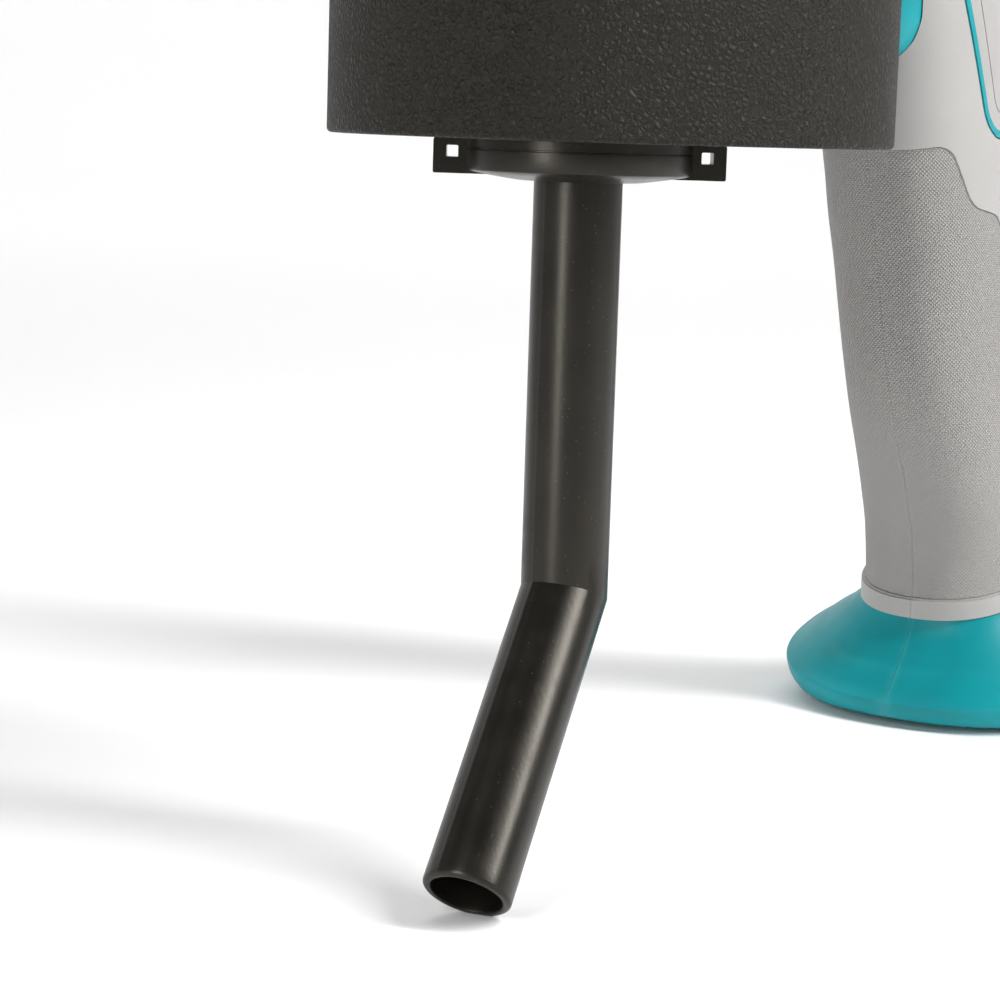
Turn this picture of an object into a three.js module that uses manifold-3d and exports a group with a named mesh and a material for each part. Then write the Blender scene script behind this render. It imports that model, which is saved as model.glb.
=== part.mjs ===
// Compact cordless leaf blower: pistol grip with a stick battery, a motor dome, a fan drum hanging
// in front of the grip and a bent nozzle tube that snaps into a collar under the drum.
// Millimetres. +X is forward (grip to drum), +Y is the tool's left, +Z is up.
// The origin is the centre of the flat foot, on the plane the foot stands on.
import * as THREE from 'three';
import { mergeVertices } from 'three/addons/utils/BufferGeometryUtils.js';
import Module from 'manifold-3d';

const wasm = await Module();
wasm.setup();

// ---------------------------------------------------------------- driving dimensions
const GAP = 0.3;              // clearance between neighbouring pieces
const WALL = 2.6;             // clamshell wall
const TIDY = 0.05;            // facets flatter than this are merged
const DRUM_X = 184;           // drum axis
const DRUM_R = 60;
const DRUM_Z0 = 149;          // drum floor, underside
const DRUM_Z1 = 222;          // drum rim
const DRUM_WALL = 2.4;
const MOUNT_R = DRUM_R - 17;  // motor mount plate, inside the ring of drum screws
const TUBE_X = 195;           // outlet axis, 11 mm in front of the drum axis
const TUBE_R = 9.35;
const BORE_R = 7.6;
const BEND_Z = 52.7;          // where the two straight tube runs meet
const BEND_DEG = 42;          // lean of the lower run from vertical
const BEND_YAW = 13.5;        // the lower run points this far to the left of straight ahead
const TIP_RUN = 73;           // length of the lower run
const EAR_YAW = 36;           // the collar's ear plate faces this way
const EAR_SPAN = 61;
const EAR_H = 7.3;
const EAR_DEPTH = 10;
const WINDOW = 2.5;           // square windows in the ears
const FOOT_X = 6.6;           // centre of the foot's rim
const FOOT_A = 38.6;          // half length of the rim
const FOOT_B = 46;            // half width of the rim
const FOOT_NECK_FRONT = 31.9; // the foot where it meets the grip
const FOOT_NECK_REAR = -15.6;
const FOOT_NECK_HALF = 23.7;
const NECK_Z = 25.2;          // grip-to-foot joint at the front of the grip
const NECK_X = 31.7;
const NECK_TILT = 15;         // the joint rises towards the rear
const RAKE = 17.4;            // lean of the battery from vertical
const PACK_HALF = 11.6;
const CELL_R = 9.25;
const CELL_LEN = 65;
const DOME_TOP = 291;
const SKIN = 1.2;             // thickness of the inlaid skins
const PIN_X = 80;             // trigger pivot
const PIN_Z = 213;
const DIAL_X = 70;
const DIAL_Z = 262;
const DIAL_R = 12;
const BUTTON_Z = 246;

// grip cross-sections: height, front edge, half length, half width
const GRIP = [
  [18, 31.8, 24.6, 23.6],
  [34, 32.7, 24, 22.9],
  [47, 34.8, 23.8, 22.6],
  [68, 43.3, 24, 21.8],
  [94, 54.4, 24.2, 21],
  [119, 61.3, 25, 21.6],
  [147, 70, 26, 21.4],
  [185, 79.4, 28, 21.2],
  [210, 85, 31, 21.5],
  [244, 93, 36, 21.5],
];

// bridge cross-sections: distance forward, centre height, half height, half width
const BRIDGE = [
  [25, 246, 9.5, 10],
  [26.5, 246, 13, 13],
  [31, 246, 17.4, 17],
  [40, 246, 20.6, 19.8],
  [54, 246.2, 22.2, 21.6],
  [80, 247, 22.8, 23],
  [110, 248.2, 23, 26],
  [140, 249, 23, 30],
  [184, 249, 22.6, 33],
];

// foot cross-section part of the way from the neck (0) to the rim (1): front edge, rear edge, half width
const flare = (...shares) => [
  [FOOT_NECK_FRONT, FOOT_X + FOOT_A],
  [FOOT_NECK_REAR, FOOT_X - FOOT_A],
  [FOOT_NECK_HALF, FOOT_B],
].map(([neck, rim], i) => Math.round((neck + (rim - neck) * shares[i]) * 100) / 100);

// foot cross-sections: height at the front edge, front edge, rear edge, half width, share of the neck's tilt
const FOOT = [
  [0, FOOT_X + FOOT_A - 1.3, FOOT_X - FOOT_A + 1, FOOT_B - 7.6, 0],
  [0.5, FOOT_X + FOOT_A - 0.5, FOOT_X - FOOT_A + 0.2, FOOT_B - 6.4, 0.1],
  [3.7, FOOT_X + FOOT_A + 0.2, FOOT_X - FOOT_A - 0.3, FOOT_B - 0.6, 0.87],
  [4.3, FOOT_X + FOOT_A, FOOT_X - FOOT_A, FOOT_B, 1],
  [5.1, FOOT_X + FOOT_A - 0.7, FOOT_X - FOOT_A + 0.7, FOOT_B - 0.7, 1],
  [6.2, FOOT_X + FOOT_A - 1.5, FOOT_X - FOOT_A + 2, FOOT_B - 2.3, 1],
  [8.8, FOOT_X + FOOT_A - 3.4, FOOT_X - FOOT_A + 4.2, FOOT_B - 5.4, 1],
  [10.7, ...flare(0.594, 0.6463, 0.6413), 1],
  [13.5, ...flare(0.406, 0.5, 0.4888), 1],
  [16.8, ...flare(0.2632, 0.3415, 0.3274), 1],
  [20.8, ...flare(0.0977, 0.1707, 0.148), 1],
  [23.9, ...flare(0.0226, 0.061, 0.0404), 1],
  [25.6, ...flare(0, 0.0244, 0.009), 1],
  [28, ...flare(0, 0, 0), 1],
];

// dome outline above the drum: radius, height
const DOME = [
  [DRUM_R + 2.6, 218],
  [DRUM_R + 2.6, 231],
  [DRUM_R + 0.6, 236],
  [Math.min(56.2, DRUM_R - 1), 243],
  [52.2, 252],
  [49.6, 264],
  [47.4, 276],
  [44.6, 284],
  [40.6, 289.2],
  [35.5, DOME_TOP],
];

// side outline of the textured grip pads, and of the flank panels
const PAD = [
  [80, 145.8], [62.3, 149.2], [59.2, 147.6], [52.6, 136.6], [49.6, 134.2],
  [39.5, 132.3], [35.8, 127.5], [28, 100], [17.5, 70], [13, 46], [16, 40.5], [60, 38],
];
const PANEL = [
  [46.6, 156.8], [53, 171], [60.4, 187], [70, 209], [78, 226], [88, 234], [104, 236.5], [108, 241],
  [108, 257], [104, 261], [60, 259], [41, 255.5], [36, 250], [33.5, 236], [31, 205], [28.5, 175],
  [28.6, 159], [32, 154.2], [41, 153.2],
];

// ---------------------------------------------------------------- solid helpers
function signedVolume(position, index) {
  const a = new THREE.Vector3();
  const b = new THREE.Vector3();
  const c = new THREE.Vector3();
  let total = 0;
  for (let i = 0; i < index.length; i += 3) {
    a.fromArray(position, index[i] * 3);
    b.fromArray(position, index[i + 1] * 3);
    c.fromArray(position, index[i + 2] * 3);
    total += a.dot(b.cross(c));
  }
  return total / 6;
}

function solid(geometry) {
  const bare = geometry.clone();
  bare.deleteAttribute('normal');
  bare.deleteAttribute('uv');
  const merged = mergeVertices(bare, 1e-4);
  const position = new Float32Array(merged.attributes.position.array);
  const index = new Uint32Array(merged.index.array);
  const kept = [];
  for (let i = 0; i < index.length; i += 3) {
    const [p, q, r] = [index[i], index[i + 1], index[i + 2]];
    if (p !== q && q !== r && p !== r) kept.push(p, q, r);
  }
  if (signedVolume(position, kept) < 0) {
    for (let i = 0; i < kept.length; i += 3) {
      [kept[i + 1], kept[i + 2]] = [kept[i + 2], kept[i + 1]];
    }
  }
  const mesh = new wasm.Mesh({
    numProp: 3,
    vertProperties: position,
    triVerts: new Uint32Array(kept),
  });
  return new wasm.Manifold(mesh);
}

function geometryOf(manifold) {
  const mesh = manifold.simplify(TIDY).getMesh();
  const geometry = new THREE.BufferGeometry();
  geometry.setAttribute('position', new THREE.BufferAttribute(new Float32Array(mesh.vertProperties), 3));
  geometry.setIndex(new THREE.BufferAttribute(new Uint32Array(mesh.triVerts), 1));
  return geometry;
}

const join = (...parts) => parts.reduce((sum, part) => sum.add(part));
const cut = (base, ...tools) => tools.reduce((rest, tool) => rest.subtract(tool), base);

function box(x0, x1, y0, y1, z0, z1) {
  const shape = new THREE.BoxGeometry(x1 - x0, y1 - y0, z1 - z0);
  shape.translate((x0 + x1) / 2, (y0 + y1) / 2, (z0 + z1) / 2);
  return solid(shape);
}

function post(r, z0, z1, x = 0, y = 0, sides = 28) {
  const shape = new THREE.CylinderGeometry(r, r, z1 - z0, sides);
  shape.rotateX(Math.PI / 2);
  shape.translate(x, y, (z0 + z1) / 2);
  return solid(shape);
}

function postY(r, y0, y1, x, z, sides = 24) {
  const shape = new THREE.CylinderGeometry(r, r, y1 - y0, sides);
  shape.translate(x, (y0 + y1) / 2, z);
  return solid(shape);
}

function postX(r, x0, x1, z, sides = 28) {
  const shape = new THREE.CylinderGeometry(r, r, x1 - x0, sides);
  shape.rotateZ(Math.PI / 2);
  shape.translate((x0 + x1) / 2, 0, z);
  return solid(shape);
}

// a closed outline of [radius, height] pairs turned about a vertical axis
function turned(outline, x = 0, sides = 36) {
  const points = outline.map(([r, z]) => new THREE.Vector2(r, z));
  points.push(points[0].clone());
  const shape = new THREE.LatheGeometry(points, sides);
  shape.rotateX(Math.PI / 2);
  shape.translate(x, 0, 0);
  return solid(shape);
}

const ring = (r0, r1, z0, z1, x = 0, sides = 36) => turned([[r0, z0], [r1, z0], [r1, z1], [r0, z1]], x, sides);

// a superellipse as a list of [u, v]
function superellipse(a, b, power, count) {
  const outline = [];
  for (let i = 0; i < count; i += 1) {
    const angle = (i / count) * Math.PI * 2;
    const c = Math.cos(angle);
    const s = Math.sin(angle);
    outline.push([a * Math.sign(c) * Math.abs(c) ** (2 / power), b * Math.sign(s) * Math.abs(s) ** (2 / power)]);
  }
  return outline;
}

// skins a stack of rings with equal point counts and closes both ends
function loft(rings) {
  const count = rings[0].length;
  const position = [];
  rings.forEach((points) => points.forEach((p) => position.push(...p)));
  const index = [];
  for (let k = 0; k + 1 < rings.length; k += 1) {
    for (let i = 0; i < count; i += 1) {
      const j = (i + 1) % count;
      const [a, b, c, d] = [k * count + i, k * count + j, (k + 1) * count + j, (k + 1) * count + i];
      index.push(a, b, c, a, c, d);
    }
  }
  [0, rings.length - 1].forEach((k) => {
    const centre = rings[k].reduce((sum, p) => sum.map((v, i) => v + p[i] / count), [0, 0, 0]);
    const hub = position.length / 3;
    position.push(...centre);
    for (let i = 0; i < count; i += 1) {
      const j = (i + 1) % count;
      if (k === 0) index.push(hub, k * count + j, k * count + i);
      else index.push(hub, k * count + i, k * count + j);
    }
  });
  const shape = new THREE.BufferGeometry();
  shape.setAttribute('position', new THREE.Float32BufferAttribute(position, 3));
  shape.setIndex(index);
  return solid(shape);
}

// a side outline of [x, z] points pushed through from y0 to y1
function slabY(outline, y0, y1) {
  return loft([y0, y1].map((y) => outline.map(([x, z]) => [x, y, z])));
}

// a closed outline moved outwards by a distance (negative moves it inwards)
function grown(outline, distance) {
  let area = 0;
  outline.forEach(([x, z], i) => {
    const [u, w] = outline[(i + 1) % outline.length];
    area += x * w - u * z;
  });
  const turn = Math.sign(area);
  return outline.map(([x, z], i) => {
    const [px, pz] = outline[(i + outline.length - 1) % outline.length];
    const [nx, nz] = outline[(i + 1) % outline.length];
    const before = new THREE.Vector2(z - pz, px - x).normalize();
    const after = new THREE.Vector2(nz - z, x - nx).normalize();
    const mean = before.clone().add(after).normalize();
    const reach = (turn * distance) / Math.max(0.5, mean.dot(after));
    return [x + mean.x * reach, z + mean.y * reach];
  });
}

// an outline as a flat-capped solid; concave outlines are allowed
function prismY(outline, y0, y1) {
  const shape = new THREE.Shape(outline.map(([x, z]) => new THREE.Vector2(x, z)));
  const body = new THREE.ExtrudeGeometry(shape, { depth: y1 - y0, bevelEnabled: false });
  body.rotateX(Math.PI / 2);
  body.translate(0, y1, 0);
  return solid(body);
}

function prismX(outline, x0, x1) {
  const shape = new THREE.Shape(outline.map(([y, z]) => new THREE.Vector2(y, z)));
  const body = new THREE.ExtrudeGeometry(shape, { depth: x1 - x0, bevelEnabled: false });
  body.applyMatrix4(new THREE.Matrix4().makeBasis(
    new THREE.Vector3(0, 1, 0),
    new THREE.Vector3(0, 0, 1),
    new THREE.Vector3(1, 0, 0),
  ));
  body.translate(x0, 0, 0);
  return solid(body);
}

const moved = (manifold, matrix) => {
  const shape = geometryOf(manifold);
  shape.applyMatrix4(matrix);
  return solid(shape);
};

// a spring wound round an axis that starts at a point and runs in a direction
function coil(from, direction, length, radius, wire, turns) {
  const axis = new THREE.Vector3(...direction).normalize();
  const side = new THREE.Vector3(0, 0, 1).cross(axis);
  if (side.lengthSq() < 0.01) side.set(1, 0, 0);
  side.normalize();
  const other = axis.clone().cross(side);
  const points = [];
  const steps = turns * 7;
  for (let i = 0; i <= steps; i += 1) {
    const angle = (i / 7) * Math.PI * 2;
    const point = new THREE.Vector3(...from).addScaledVector(axis, (length * i) / steps);
    point.addScaledVector(side, radius * Math.cos(angle)).addScaledVector(other, radius * Math.sin(angle));
    points.push(point);
  }
  const section = new THREE.Shape(
    superellipse(wire, wire, 2, 4).map(([u, v]) => new THREE.Vector2(u, v)),
  );
  return solid(new THREE.ExtrudeGeometry(section, {
    steps,
    bevelEnabled: false,
    extrudePath: new THREE.CatmullRomCurve3(points),
  }));
}

const rad = THREE.MathUtils.degToRad;

// ---------------------------------------------------------------- body volumes, grown or shrunk by t
function gripVolume(t) {
  return loft(GRIP.map(([z, front, a, b]) => (
    superellipse(a + t, b + t, 2.3, 24).map(([u, v]) => [front - a + u, v, z])
  )));
}

function bridgeVolume(t) {
  const rings = BRIDGE.map(([x, zc, h, b], i) => {
    const shift = i === 0 ? -t : 0;
    return superellipse(h + t, b + t, 2.6, 22).map(([u, v]) => [x + shift, v, zc + u]);
  });
  return loft(rings);
}

function domeVolume(t) {
  const outline = DOME.map(([r, z]) => [r + t, z]);
  outline[0][1] = t < 0 ? DOME[0][1] - 1 : DOME[0][1];
  outline[outline.length - 1][1] += t;
  outline[outline.length - 2][1] += t * 0.8;
  outline[outline.length - 3][1] += t * 0.4;
  return turned([[0, outline[0][1]], ...outline, [0, outline[outline.length - 1][1]]], DRUM_X, 36);
}

function footVolume(t) {
  return loft(FOOT.map(([z, front, rear, b, share]) => (
    superellipse((front - rear) / 2 + t, b + t, 2.3, 28).map(([u, v]) => {
      const x = (front + rear) / 2 + u;
      return [x, v, z + (front - x) * Math.tan(rad(NECK_TILT)) * share];
    })
  )));
}

// everything above (or below) the slanted neck joint
const NECK_RISE = Math.tan(rad(NECK_TILT));
const neckZ = (x, lift) => NECK_Z + lift + (NECK_X - x) * NECK_RISE;
function aboveNeck(lift) {
  return prismY([[-80, neckZ(-80, lift)], [140, neckZ(140, lift)], [140, 320], [-80, 320]], -60, 60);
}
function belowNeck(lift) {
  return prismY([[-80, neckZ(-80, lift)], [-80, -20], [140, -20], [140, neckZ(140, lift)]], -60, 60);
}

const leftSide = box(-120, 320, GAP / 2, 120, -60, 340);
const rightSide = box(-120, 320, -120, -GAP / 2, -60, 340);
const flank = (t) => join(gripVolume(t), bridgeVolume(t));

// ---------------------------------------------------------------- clamshell body
const neckBand = gripVolume(0.7).intersect(aboveNeck(GAP / 2)).intersect(belowNeck(5));
const bodyOuter = join(
  gripVolume(0).intersect(aboveNeck(GAP / 2)),
  neckBand,
  bridgeVolume(0).subtract(post(DRUM_R + GAP, 200, 225.1, DRUM_X, 0, 36)),
  domeVolume(0),
);
const cavity = join(
  gripVolume(-WALL),
  bridgeVolume(-WALL),
  domeVolume(-WALL).intersect(post(DRUM_R - 2.6, 200, 320, DRUM_X, 0, 36)),
  post(DRUM_R + GAP, 200, 225.1, DRUM_X, 0, 36),
);

// joins the two halves: a pillar on each half, a through hole, a blind hole and a sunk head
const SCREWS = [[47, 262.5], [118, 263], [116, 231.5], [33, 176], [229, 242]];
const pillars = SCREWS.map(([x, z]) => postY(4.8, -60, 60, x, z, 10));
const DIAL_BOSS = join(postY(5, 6.2, 40, DIAL_X, DIAL_Z, 10), postY(5, -40, -6.2, DIAL_X, DIAL_Z, 10));
const PIN_BOSS = join(postY(4.2, 14.0, 40, PIN_X, PIN_Z, 10), postY(4.2, -40, -14.0, PIN_X, PIN_Z, 10));
const inside = bodyOuter.intersect(join(...pillars, DIAL_BOSS, PIN_BOSS));

const TRIGGER_SIDE = [
  [74, 169.5], [79.5, 171.5], [84, 178], [86.6, 187], [87.4, 197], [87.2, 206], [86.4, 213], [84.6, 217.4],
  [79, 218.2], [75.6, 214], [76, 206], [74.6, 196], [72.6, 186], [70.6, 178], [70, 171.4],
];
const TRIGGER_FRONT = [
  [-5, 169], [5, 169], [9.2, 170.8], [12.4, 174.6], [14.2, 179.8], [14.6, 186], [14.6, 230], [-14.6, 230],
  [-14.6, 186], [-14.2, 179.8], [-12.4, 174.6], [-9.2, 170.8],
];
const triggerRoom = prismY([
  [63, 167.8], [80, 167.8], [100, 172], [100, 219.8], [72.5, 219.8], [70, 210], [66, 196], [62.6, 176],
], -16, 16).intersect(prismX([
  [-5, 168.4], [5, 168.4], [9.5, 170.2], [12.9, 174.2], [14.7, 179.5], [15.1, 186], [15.1, 232], [-15.1, 232],
  [-15.1, 186], [-14.7, 179.5], [-12.9, 174.2], [-9.5, 170.2],
], 40, 110));

const slots = [];
for (let side = -1; side <= 1; side += 2) {
  for (let i = 0; i < 5; i += 1) {
    const slot = box(0, 70, -1.5, 1.5, 254, 274);
    const spin = new THREE.Matrix4().makeRotationZ(rad(side * (62 + i * 11)));
    spin.setPosition(DRUM_X, 0, 0);
    slots.push(moved(slot, spin));
  }
}

let body = join(cut(bodyOuter, cavity), inside);
body = cut(
  body,
  triggerRoom,
  box(DIAL_X - DIAL_R - 1, DIAL_X + DIAL_R + 1, -5.6, 5.6, DIAL_Z - DIAL_R - 1, 290),
  postY(2.15, -9.5, 9.5, DIAL_X, DIAL_Z, 12),
  postY(1.55, -17.6, 17.6, PIN_X, PIN_Z, 12),
  postX(8.3, 10, 40, BUTTON_Z, 24),
  post(32.8, 285, 300, DRUM_X, 0, 40),
  post(2.25, 255, 275, 52, 0, 12),
  ...slots,
);
SCREWS.forEach(([x, z]) => {
  body = cut(body, postY(3.7, -70, -9, x, z, 12), postY(1.7, -12, 0, x, z, 10), postY(1.7, 0, 10.6, x, z, 10));
});

// recesses for the inlaid skins
const padRoom = cut(flank(2), flank(-SKIN - 0.25)).intersect(prismY(grown(PAD, 0.3), -60, 60));
const panelRoom = cut(flank(2), flank(-SKIN - 0.25)).intersect(
  join(prismY(grown(PANEL, 2.1), 9, 60), prismY(grown(PANEL, 2.1), -60, -9)),
);
body = cut(body, padRoom, panelRoom);

const padSkin = cut(flank(0.15), flank(-SKIN)).intersect(prismY(PAD, -60, 60));
const panelSkin = cut(flank(0.1), flank(-SKIN)).intersect(
  join(prismY(PANEL, 9.3, 60), prismY(PANEL, -60, -9.3)),
);
const trimSkin = cut(flank(0.35), flank(-SKIN)).intersect(
  join(
    cut(prismY(grown(PANEL, 1.8), 9.3, 60), prismY(grown(PANEL, 0.25), 9, 61)),
    cut(prismY(grown(PANEL, 1.8), -60, -9.3), prismY(grown(PANEL, 0.25), -61, -9)),
  ),
);

// ---------------------------------------------------------------- battery pack, built upright and then raked
const rake = new THREE.Matrix4().makeRotationY(rad(RAKE));
const raked = (manifold) => moved(manifold, rake);
const roundedPost = (half, power, z0, z1, grow = 0) => loft([z0, z1].map((z) => (
  superellipse(half + grow, half + grow, power, 24).map(([u, v]) => [u, v, z])
)));
const CASE_Z0 = 7;
const CASE_Z1 = 9 + 2 * CELL_LEN + 3.2;
const packCase = raked(cut(
  roundedPost(PACK_HALF, 4, CASE_Z0, CASE_Z1),
  roundedPost(PACK_HALF - 1.5, 4, CASE_Z0 - 1, CASE_Z1 - 1.8),
));
const cellAt = (z0) => raked(join(
  post(CELL_R, z0, z0 + CELL_LEN - 1, 0, 0, 20),
  post(3.2, z0 + CELL_LEN - 2, z0 + CELL_LEN, 0, 0, 12),
));
const packContacts = raked(join(
  box(-7, 7, -6, 6, CASE_Z1 + GAP, CASE_Z1 + 2.4),
  box(-5.5, -4.3, -3.4, 3.4, CASE_Z1 + 2, CASE_Z1 + 7),
  box(4.3, 5.5, -3.4, 3.4, CASE_Z1 + 2, CASE_Z1 + 7),
));
const receiver = raked(cut(
  box(-9.5, 9.5, -8, 8, CASE_Z1 + 2.8, CASE_Z1 + 13),
  box(-6.4, -3.4, -4.4, 4.4, CASE_Z1 + 2, CASE_Z1 + 9),
  box(3.4, 6.4, -4.4, 4.4, CASE_Z1 + 2, CASE_Z1 + 9),
));

// the base plate's edges follow the rake, so that it slides straight out of the foot
const shear = new THREE.Matrix4().set(1, 0, Math.tan(rad(RAKE)), 0, 0, 1, 0, 0, 0, 0, 1, 0, 0, 0, 0, 1);
const shearedPlate = (a, b, z0, z1) => moved(loft([z0, z1].map((z) => (
  superellipse(a, b, 3.2, 28).map(([u, v]) => [u, v, z])
))), shear);
const packBase = join(
  shearedPlate(27, 29, 0, 3),
  raked(roundedPost(PACK_HALF, 4, 1.5, 6.7)).intersect(box(-60, 60, -60, 60, 1, 30)),
);

// ---------------------------------------------------------------- foot
const footHollow = footVolume(-2.4).intersect(box(-80, 80, -80, 80, 3, 60));
const LATCH_X = 0;
const LATCH_Z = 8.5;
const latchHole = box(LATCH_X - 9.3, LATCH_X + 9.3, -60, 60, LATCH_Z - 4.3, LATCH_Z + 4.3);
const latchWall = join(
  box(LATCH_X - 6, LATCH_X + 6, 22, 23.6, 4.2, 40),
  box(LATCH_X - 6, LATCH_X + 6, -23.6, -22, 4.2, 40),
);
const foot = cut(
  join(
    cut(footVolume(0), footHollow).intersect(belowNeck(-GAP / 2)),
    latchWall.intersect(footVolume(-1)).intersect(belowNeck(-GAP / 2)),
  ),
  shearedPlate(27.5, 29.5, -2, 3.6),
  latchHole.intersect(join(box(-60, 60, 33, 60, 0, 40), box(-60, 60, -60, -33, 0, 40))),
);

// latch buttons, pressed inwards
function latchButton(side) {
  const cap = box(LATCH_X - 9, LATCH_X + 9, 32, 44, LATCH_Z - 4, LATCH_Z + 4);
  const flange = box(LATCH_X - 10.6, LATCH_X + 10.6, 31.2, 32.8, LATCH_Z - 5, LATCH_Z + 5);
  const ridges = [-4, 0, 4].map((dx) => box(LATCH_X + dx - 0.8, LATCH_X + dx + 0.8, 43.8, 44.6, LATCH_Z - 3, LATCH_Z + 3));
  const whole = join(cap, flange, ...ridges);
  return side > 0 ? whole : moved(whole, new THREE.Matrix4().makeScale(1, -1, 1));
}

// ---------------------------------------------------------------- trigger and controls
const trigger = (() => {
  const paddle = prismY(TRIGGER_SIDE, -14.6, 14.6).intersect(prismX(TRIGGER_FRONT, 40, 110));
  const hollow = prismY([
    [60, 173], [76.6, 176], [81, 188], [82, 208], [60, 208],
  ], -10.6, 10.6);
  const rib = box(68, 83, -1.6, 1.6, 178, 200).intersect(prismY(TRIGGER_SIDE, -5, 5));
  const fork = box(60, 84.2, -5.2, 5.2, 208, 222);
  const outside = join(box(60, 84.2, 11.8, 20, 207, 222), box(60, 84.2, -20, -11.8, 207, 222));
  return cut(join(cut(paddle, hollow), rib), fork, outside, postY(1.6, -20, 20, PIN_X, PIN_Z, 16));
})();
const triggerPin = postY(1.5, -17.3, 17.3, PIN_X, PIN_Z, 12);
const triggerSpring = coil([PIN_X, -4.6, PIN_Z], [0, 1, 0], 9.2, 2.6, 0.45, 5);
const switchModule = join(
  box(44, 60, -7.5, 7.5, 168, 198),
  box(47, 57, -5.5, 5.5, 197, 203),
  box(59, 61.6, -2, 2, 180, 186),
);
const rearButton = join(
  postX(8, 22.6, 34, BUTTON_Z, 32),
  postX(9.8, 32.4, 34.6, BUTTON_Z, 32),
);
const buttonSpring = coil([35.2, 0, BUTTON_Z], [1, 0, 0], 4.2, 3.6, 0.45, 3);
const boostSwitch = join(box(43.2, 50, -5, 5, 240, 252), box(42.6, 44, -1.5, 1.5, 244, 248));
const dial = (() => {
  let wheel = postY(DIAL_R, -4.8, 4.8, DIAL_X, DIAL_Z, 36);
  for (let i = 0; i < 18; i += 1) {
    const angle = (i / 18) * Math.PI * 2;
    const [x, z] = [DIAL_X + (DIAL_R + 0.5) * Math.cos(angle), DIAL_Z + (DIAL_R + 0.5) * Math.sin(angle)];
    wheel = wheel.subtract(postY(1.2, -6, 6, x, z, 6));
  }
  return join(wheel, postY(2, -8.9, 8.9, DIAL_X, DIAL_Z, 12));
})();
const board = join(
  box(86, 122, -12, 12, 244, 245.6),
  post(4, 245, 254, 92, -5, 20),
  post(4, 245, 254, 102, -5, 20),
  box(88, 96, 3, 10, 245, 248),
  box(100, 114, 2, 10, 245, 250),
);
const lens = post(2, 262, 268.9, 52, 0, 20);

// ---------------------------------------------------------------- fan drum
const drumScrewAt = (deg) => [
  DRUM_X + (DRUM_R - 7.5) * Math.cos(rad(deg)),
  (DRUM_R - 7.5) * Math.sin(rad(deg)),
];
const drum = (() => {
  const lip = 2.2;
  const shell = turned([
    [0, DRUM_Z0], [DRUM_R - lip, DRUM_Z0], [DRUM_R - 0.65, DRUM_Z0 + 0.65], [DRUM_R, DRUM_Z0 + lip],
    [DRUM_R, DRUM_Z1], [DRUM_R - DRUM_WALL, DRUM_Z1], [DRUM_R - DRUM_WALL, DRUM_Z0 + 2.6], [0, DRUM_Z0 + 2.6],
  ], DRUM_X, 48);
  const bosses = [60, 180, 300].map((deg) => (
    post(5.6, 200, DRUM_Z1, ...drumScrewAt(deg), 12)
  ));
  const holes = [60, 180, 300].map((deg) => (
    post(1.65, 206, 230, ...drumScrewAt(deg), 12)
  ));
  const spigot = post(12.5, 144.4, 152, TUBE_X, 0, 32);
  return cut(join(shell, ...bosses, spigot), post(9, 140, 160, TUBE_X, 0, 28), ...holes);
})();
const drumCover = cut(
  ring(MOUNT_R - 5, DRUM_R, DRUM_Z1 + GAP, DRUM_Z1 + 2.8, DRUM_X, 48),
  ...[60, 180, 300].map((deg) => (
    post(1.8, 220, 230, ...drumScrewAt(deg), 12)
  )),
);
const screwDown = (deg) => {
  const [x, y] = drumScrewAt(deg);
  const drive = post(1.1, 226.3, 228, x, y, 6);
  return cut(join(post(3, 225.1, 227.2, x, y, 12), post(1.5, 208, 226, x, y, 8)), drive);
};
const screwAcross = ([x, z]) => {
  const drive = postY(1.1, -13, -10.2, x, z, 6);
  return cut(join(postY(3.1, -11.4, -9.3, x, z, 12), postY(1.45, -9.6, 9.8, x, z, 8)), drive);
};

const motorMount = cut(
  join(post(MOUNT_R, 225.1, 228.1, DRUM_X, 0, 36), post(11, 226, 231.8, DRUM_X, 0, 24)),
  post(8.08, 225.9, 240, DRUM_X, 0, 24),
  post(4, 220, 240, DRUM_X, 0, 12),
  ...[0, 60, 120, 180, 240, 300].map((deg) => (
    post(6.6, 220, 230, DRUM_X + 0.71 * MOUNT_R * Math.cos(rad(deg)), 0.71 * MOUNT_R * Math.sin(rad(deg)), 14)
  )),
);
const motorCan = cut(
  join(post(21, 228.4, 278, DRUM_X, 0, 32), post(10.5, 277, 284, DRUM_X, 0, 24)),
  post(19.6, 220, 276.4, DRUM_X, 0, 32),
  post(8.08, 270, 290, DRUM_X, 0, 24),
  ...[20, 140, 260].map((deg) => post(3, 270, 290, DRUM_X + 15 * Math.cos(rad(deg)), 15 * Math.sin(rad(deg)), 10)),
);
const bearing = (z0) => ring(2.58, 8, z0, z0 + 5, DRUM_X, 24);
const armature = (() => {
  const teeth = [0, 1, 2, 3, 4, 5].map((i) => {
    const slot = box(9, 20, -1.6, 1.6, 236, 271);
    const spin = new THREE.Matrix4().makeRotationZ(rad(i * 60));
    spin.setPosition(DRUM_X, 0, 0);
    return moved(slot, spin);
  });
  return join(post(2.5, 184.6, 283.4, DRUM_X, 0, 24), cut(post(16.5, 237, 270, DRUM_X, 0, 24), ...teeth));
})();
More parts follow.
